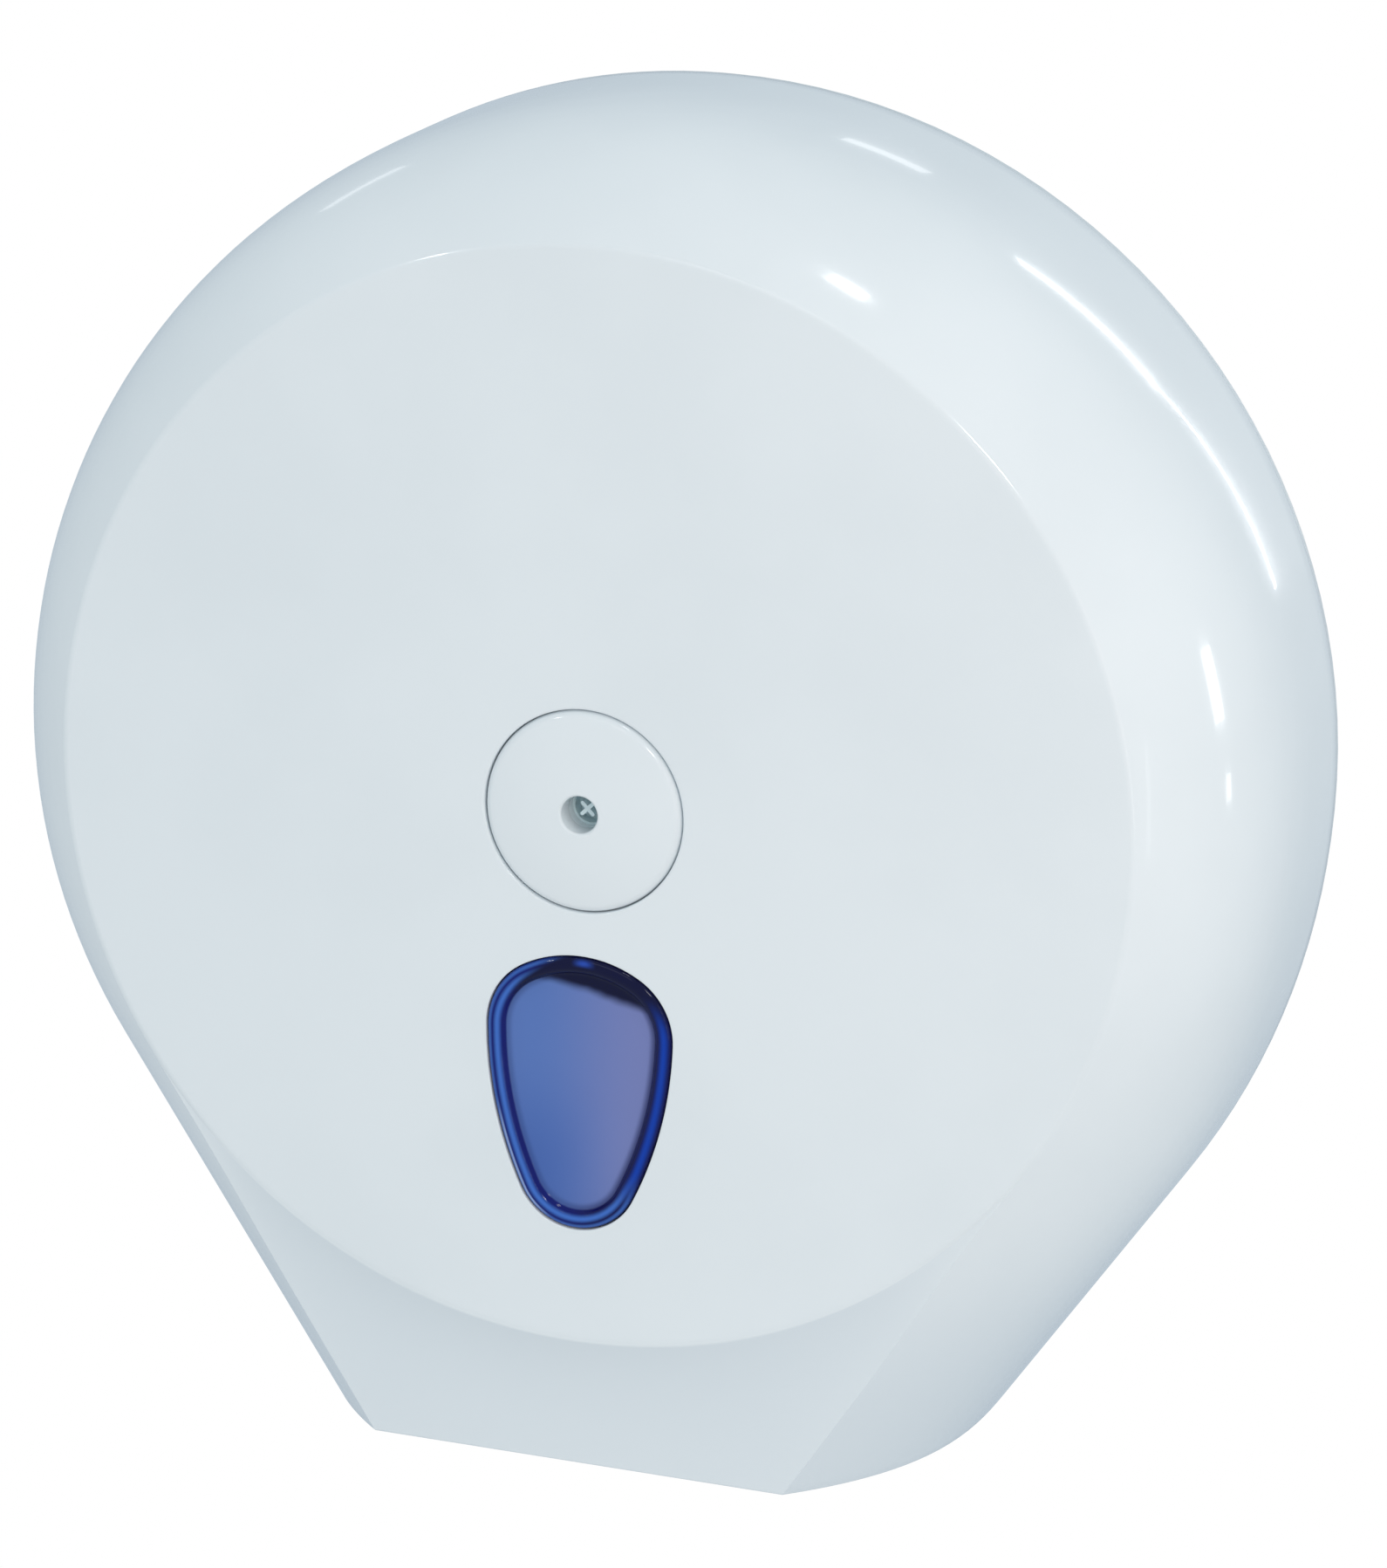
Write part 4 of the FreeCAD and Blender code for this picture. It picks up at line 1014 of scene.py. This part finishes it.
lift = WINDOW_TOP - CORNER_CENTRE[1]
crown_radius = (CORNER_CENTRE[0] ** 2 + lift ** 2 - CORNER_RADIUS ** 2) / (2 * (lift - CORNER_RADIUS))
crown_centre = (0.0, WINDOW_TOP - crown_radius)
to_corner = SIDE_ARC_RADIUS - CORNER_RADIUS
to_foot = SIDE_ARC_RADIUS - FOOT_RADIUS
spine = (CORNER_CENTRE[0] - FOOT_CENTRE[0], CORNER_CENTRE[1] - FOOT_CENTRE[1])
span = math.hypot(*spine)
along = (to_foot ** 2 - to_corner ** 2 + span ** 2) / (2 * span)
across = math.sqrt(to_foot ** 2 - along ** 2)
side_arc_centre = (
    FOOT_CENTRE[0] + (along * spine[0] - across * spine[1]) / span,
    FOOT_CENTRE[1] + (along * spine[1] + across * spine[0]) / span,
)


def bearing(start, end):
    """The angle of the line from one place to another."""
    return math.atan2(end[1] - start[1], end[0] - start[0])


crown_turn = bearing(crown_centre, CORNER_CENTRE)
hip_turn = bearing(side_arc_centre, CORNER_CENTRE)
heel_turn = bearing(side_arc_centre, FOOT_CENTRE)
window_arcs = {
    "crown": (crown_centre, crown_radius, math.pi / 2, crown_turn),
    "corner": (CORNER_CENTRE, CORNER_RADIUS, crown_turn, hip_turn),
    "flank": (side_arc_centre, SIDE_ARC_RADIUS, hip_turn, heel_turn),
    "foot": (FOOT_CENTRE, FOOT_RADIUS, heel_turn, -math.pi / 2),
}
window_columns = both_sides(WINDOW_TURNS)


def window_rule(offset, out):
    """A ring of the window's outline, grown by an offset, both in mm."""

    def rule(column):
        name, share, hand = window_columns[column]
        centre, radius, first, last = window_arcs[name]
        angle = first + (last - first) * share
        x = centre[0] + (radius + offset) * math.cos(angle)
        z = centre[1] + (radius + offset) * math.sin(angle)
        return Vector((hand * x, -out, z)) * MM

    return rule


print("window columns", len(window_columns), "crown radius", round(crown_radius, 1))

# %% [markdown]
# The opening for the window goes straight through the wall, with a slightly rounded front edge. Then the
# two flat faces of the disc are filled between their loops of edges: front and back each have an outer
# circle, the lock seat and the window opening. A triangle fill copes with such holes.

# %% Window opening and the disc's faces
OPENING_CHAIN = ((0.7, 102.0), (0.35, 102.0), (0.1, 101.9), (0.0, 101.65), (0.0, 99.0))

opening_front = first_ring(cover, len(window_columns), window_rule(*OPENING_CHAIN[0]))
row = opening_front
for offset, out in OPENING_CHAIN[1:]:
    row = next_ring(cover, row, window_rule(offset, out))
opening_back = row
for loops in (outer_start + seat_front + opening_front, inner_start + seat_back + opening_back):
    bmesh.ops.triangle_fill(cover, use_beauty=True, use_dissolve=False, edges=loops)
print("faces with the disc filled", len(cover.faces))

# %% [markdown]
# What is still open is one loop on each skin, round the rim and along the bottom. A bridge between the two
# loops makes the wall's edge. Its corners at the bottom are bevelled a little, as a mould leaves them.

# %% Close the wall
BOTTOM_BEVEL = 0.4 * MM
BEVEL_ANGLE = math.radians(40)
LEVEL_TOLERANCE = 0.001 * MM

bmesh.ops.remove_doubles(cover, verts=cover.verts, dist=MERGE_DISTANCE)
open_rim = [edge for edge in cover.edges if len(edge.link_faces) == 1]
bridge = bmesh.ops.bridge_loops(cover, edges=open_rim)["faces"]
low_edges = [
    edge for edge in open_rim
    if edge.is_valid and len(edge.link_faces) == 2
    and max(abs(vert.co.z + BOTTOM_DROP) for vert in edge.verts) < LEVEL_TOLERANCE
    and edge.calc_face_angle(0.0) > BEVEL_ANGLE
]
bmesh.ops.recalc_face_normals(cover, faces=cover.faces)
bmesh.ops.bevel(
    cover, geom=low_edges, affect="EDGES", offset=BOTTOM_BEVEL, segments=3, profile=0.5, material=-1,
)
print("open rim edges", len(open_rim), "bridge faces", len(bridge), "bevelled", len(low_edges))

# %% [markdown]
# Behind the wall stand the small bosses: four pins for the window's clips and two for the tear bar's
# screws. They are short rods whose ends sit inside the wall.

# %% Bosses
PIN_RADIUS = 1.5 * MM
PIN_END_OUT = 94.8 * MM
PIN_OFFSET = 3.6
PIN_ANGLES = ((CORNER_CENTRE, CORNER_RADIUS, 35.0), (FOOT_CENTRE, FOOT_RADIUS, -30.0))
BOSS_SINK = 0.6 * MM
TEAR_BOSS_RADIUS = 4.0 * MM
TEAR_BOSS_X = 36.0 * MM
TEAR_BOSS_Z = -173.5 * MM
TEAR_BOSS_OUT = 90.5 * MM
ROD_SIDES = 32


def add_rod(bm, radius, out_start, out_end, x, z):
    """A closed rod along the forward axis."""
    turned = Matrix.Rotation(math.pi / 2, 4, "X")
    place = Matrix.Translation((x, -(out_start + out_end) / 2, z)) @ turned
    bmesh.ops.create_cone(
        bm, cap_ends=True, segments=ROD_SIDES, radius1=radius, radius2=radius, depth=abs(out_end - out_start),
        matrix=place,
    )


for centre, radius, degrees in PIN_ANGLES:
    reach = radius + PIN_OFFSET
    x = (centre[0] + reach * math.cos(math.radians(degrees))) * MM
    z = (centre[1] + reach * math.sin(math.radians(degrees))) * MM
    for hand in (1, -1):
        add_rod(cover, PIN_RADIUS, PIN_END_OUT, POCKET_OUT + BOSS_SINK, hand * x, z)
for hand in (1, -1):
    add_rod(cover, TEAR_BOSS_RADIUS, TEAR_BOSS_OUT, LEDGE_OUT + BOSS_SINK, hand * TEAR_BOSS_X, TEAR_BOSS_Z)

# %% [markdown]
# The hinge knuckles are thick tubes inside the flanks, near the wall. Half of a tube's section, spun round
# the hinge's axis, gives the tube with its blind bore. A cut along the flank slants its outer end, and the
# cut is filled.

# %% Hinge knuckles
HINGE_OUT = 16.0 * MM
HINGE_Z = -172.5 * MM
KNUCKLE_SECTION = (
    (88.0, 0.0), (88.0, 2.55), (73.4, 2.55), (73.0, 2.95), (73.0, 5.6), (73.4, 6.0), (112.0, 6.0),
)
KNUCKLE_STEPS = 40
KNUCKLE_GAP = 1.6 * MM

for hand in (1, -1):
    places = [Vector((hand * x * MM, -HINGE_OUT, HINGE_Z + radius * MM)) for x, radius in KNUCKLE_SECTION]
    tube = spun_section(places, (0, -HINGE_OUT, HINGE_Z), (1, 0, 0), KNUCKLE_STEPS)
    bmesh.ops.remove_doubles(tube, verts=tube.verts, dist=MERGE_DISTANCE)
    flank_normal = Vector((hand * math.cos(FLANK_ANGLE), 0, -math.sin(FLANK_ANGLE)))
    flank_point = outline_place("flank", 0.0, HINGE_OUT, KNUCKLE_GAP)
    bmesh.ops.bisect_plane(
        tube, geom=list(tube.verts) + list(tube.edges) + list(tube.faces),
        plane_co=(hand * flank_point[0], -HINGE_OUT, flank_point[1]), plane_no=flank_normal, clear_outer=True,
    )
    ends = [edge for edge in tube.edges if len(edge.link_faces) == 1]
    bmesh.ops.edgeloop_fill(tube, edges=ends)
    scrap = bpy.data.meshes.new("knuckle")
    tube.to_mesh(scrap)
    tube.free()
    cover.from_mesh(scrap)
    bpy.data.meshes.remove(scrap)

finish_piece(cover, "cover_skin", cover_gloss, "cover", ["cover_shell"])

# %% [markdown]
# The lock plate is a shallow dome with a keyhole. Its section is one line of points, from the hole along
# the flat back to the edge and over the dome to the hole's rim, spun round the lock's axis. Its edge and
# the hole's rim are rounded, so that they catch light.

# %% Lock plate
PLATE_RADIUS = 26.6
PLATE_EDGE_OUT = 102.2
PLATE_DOME = 3.2
PLATE_FLOOR_OUT = 99.0
KEYHOLE_RADIUS = 4.9
PLATE_ROUNDING = 2.6
ROUNDING_STEPS = 12
DOME_STEPS = 26
PLATE_STEPS = 96
PLATE_CHAMFER = 0.3
KEYHOLE_RIM_WIDTH = 0.75
KEYHOLE_BROW = 5.45
BROW_DROP = 0.02
KEYHOLE_RIM = ((5.15, 105.02), (4.97, 104.82), (KEYHOLE_RADIUS, 104.55))

sphere_radius = (PLATE_RADIUS ** 2 + PLATE_DOME ** 2) / (2 * PLATE_DOME)


def dome_out(radius):
    """How far out the dome lies at a radius, in mm."""
    return PLATE_EDGE_OUT + PLATE_DOME - sphere_radius + math.sqrt(sphere_radius ** 2 - radius ** 2)


section = [
    (KEYHOLE_RADIUS, PLATE_FLOOR_OUT), (PLATE_RADIUS - PLATE_CHAMFER, PLATE_FLOOR_OUT),
    (PLATE_RADIUS, PLATE_FLOOR_OUT + PLATE_CHAMFER),
]
rim_start = (PLATE_RADIUS - PLATE_ROUNDING) / (1 - PLATE_ROUNDING / sphere_radius)
rim_slope = math.asin(rim_start / sphere_radius)
for step in range(ROUNDING_STEPS):
    angle = math.pi / 2 + (rim_slope - math.pi / 2) * step / ROUNDING_STEPS
    section.append((
        rim_start + PLATE_ROUNDING * (math.sin(angle) - math.sin(rim_slope)),
        dome_out(rim_start) + PLATE_ROUNDING * (math.cos(angle) - math.cos(rim_slope)),
    ))
rim_end = KEYHOLE_RADIUS + KEYHOLE_RIM_WIDTH
for step in range(DOME_STEPS + 1):
    radius = rim_start + (rim_end - rim_start) * step / DOME_STEPS
    section.append((radius, dome_out(radius)))
section += [(KEYHOLE_BROW, dome_out(KEYHOLE_BROW) - BROW_DROP), *KEYHOLE_RIM]

places = [Vector((radius * MM, -out * MM, -SPINDLE_DROP)) for radius, out in section]
plate = spun_section(places, (0, 0, -SPINDLE_DROP), (0, 1, 0), PLATE_STEPS, closed=True)
finish_piece(plate, "lock_dome", cover_gloss, "cover", ["lock_plate"])

# %% [markdown]
# The window is moulded in one piece: a sunk pane, a rounded border that stands a little proud of the
# disc, and a flange behind the wall. Rings walk from the pane over the border and back behind the pane.
# A layer notes how far inside the outline each point lies, in mm, and the window's colour and the light
# and shade painted on it read it.

# %% Window
LENS_CHAIN = (
    (-9.0, 100.5), (-7.5, 100.5), (-6.6, 100.5), (-5.9, 100.5), (-5.3, 100.62), (-5.0, 100.85),
    (-4.7, 101.3), (-4.25, 101.85), (-3.6, 102.22), (-2.7, 102.4), (-1.7, 102.36), (-0.95, 102.1),
    (-0.45, 101.6), (-0.25, 101.0), (-0.25, 99.2), (0.0, 99.0), (6.8, 99.0), (7.0, 98.8), (7.0, 97.4),
    (6.8, 97.2), (-3.8, 97.2), (-4.0, 97.4), (-4.0, 98.3), (-4.3, 98.5), (-7.5, 98.5),
)

lens = bmesh.new()
inset_layer = lens.verts.layers.float.new("inset")
pane_front = first_ring(lens, len(window_columns), window_rule(*LENS_CHAIN[0]))
row = pane_front
for place, (offset, out) in enumerate(LENS_CHAIN):
    if place > 0:
        row = next_ring(lens, row, window_rule(offset, out))
    note_ring(row, inset_layer, lambda _: max(0.0, -offset))
for loop in (pane_front, row):
    bmesh.ops.triangle_fill(lens, use_beauty=True, use_dissolve=False, edges=loop)
finish_piece(lens, "window", window_tint_and_painted_light, "cover", ["window_lens"])
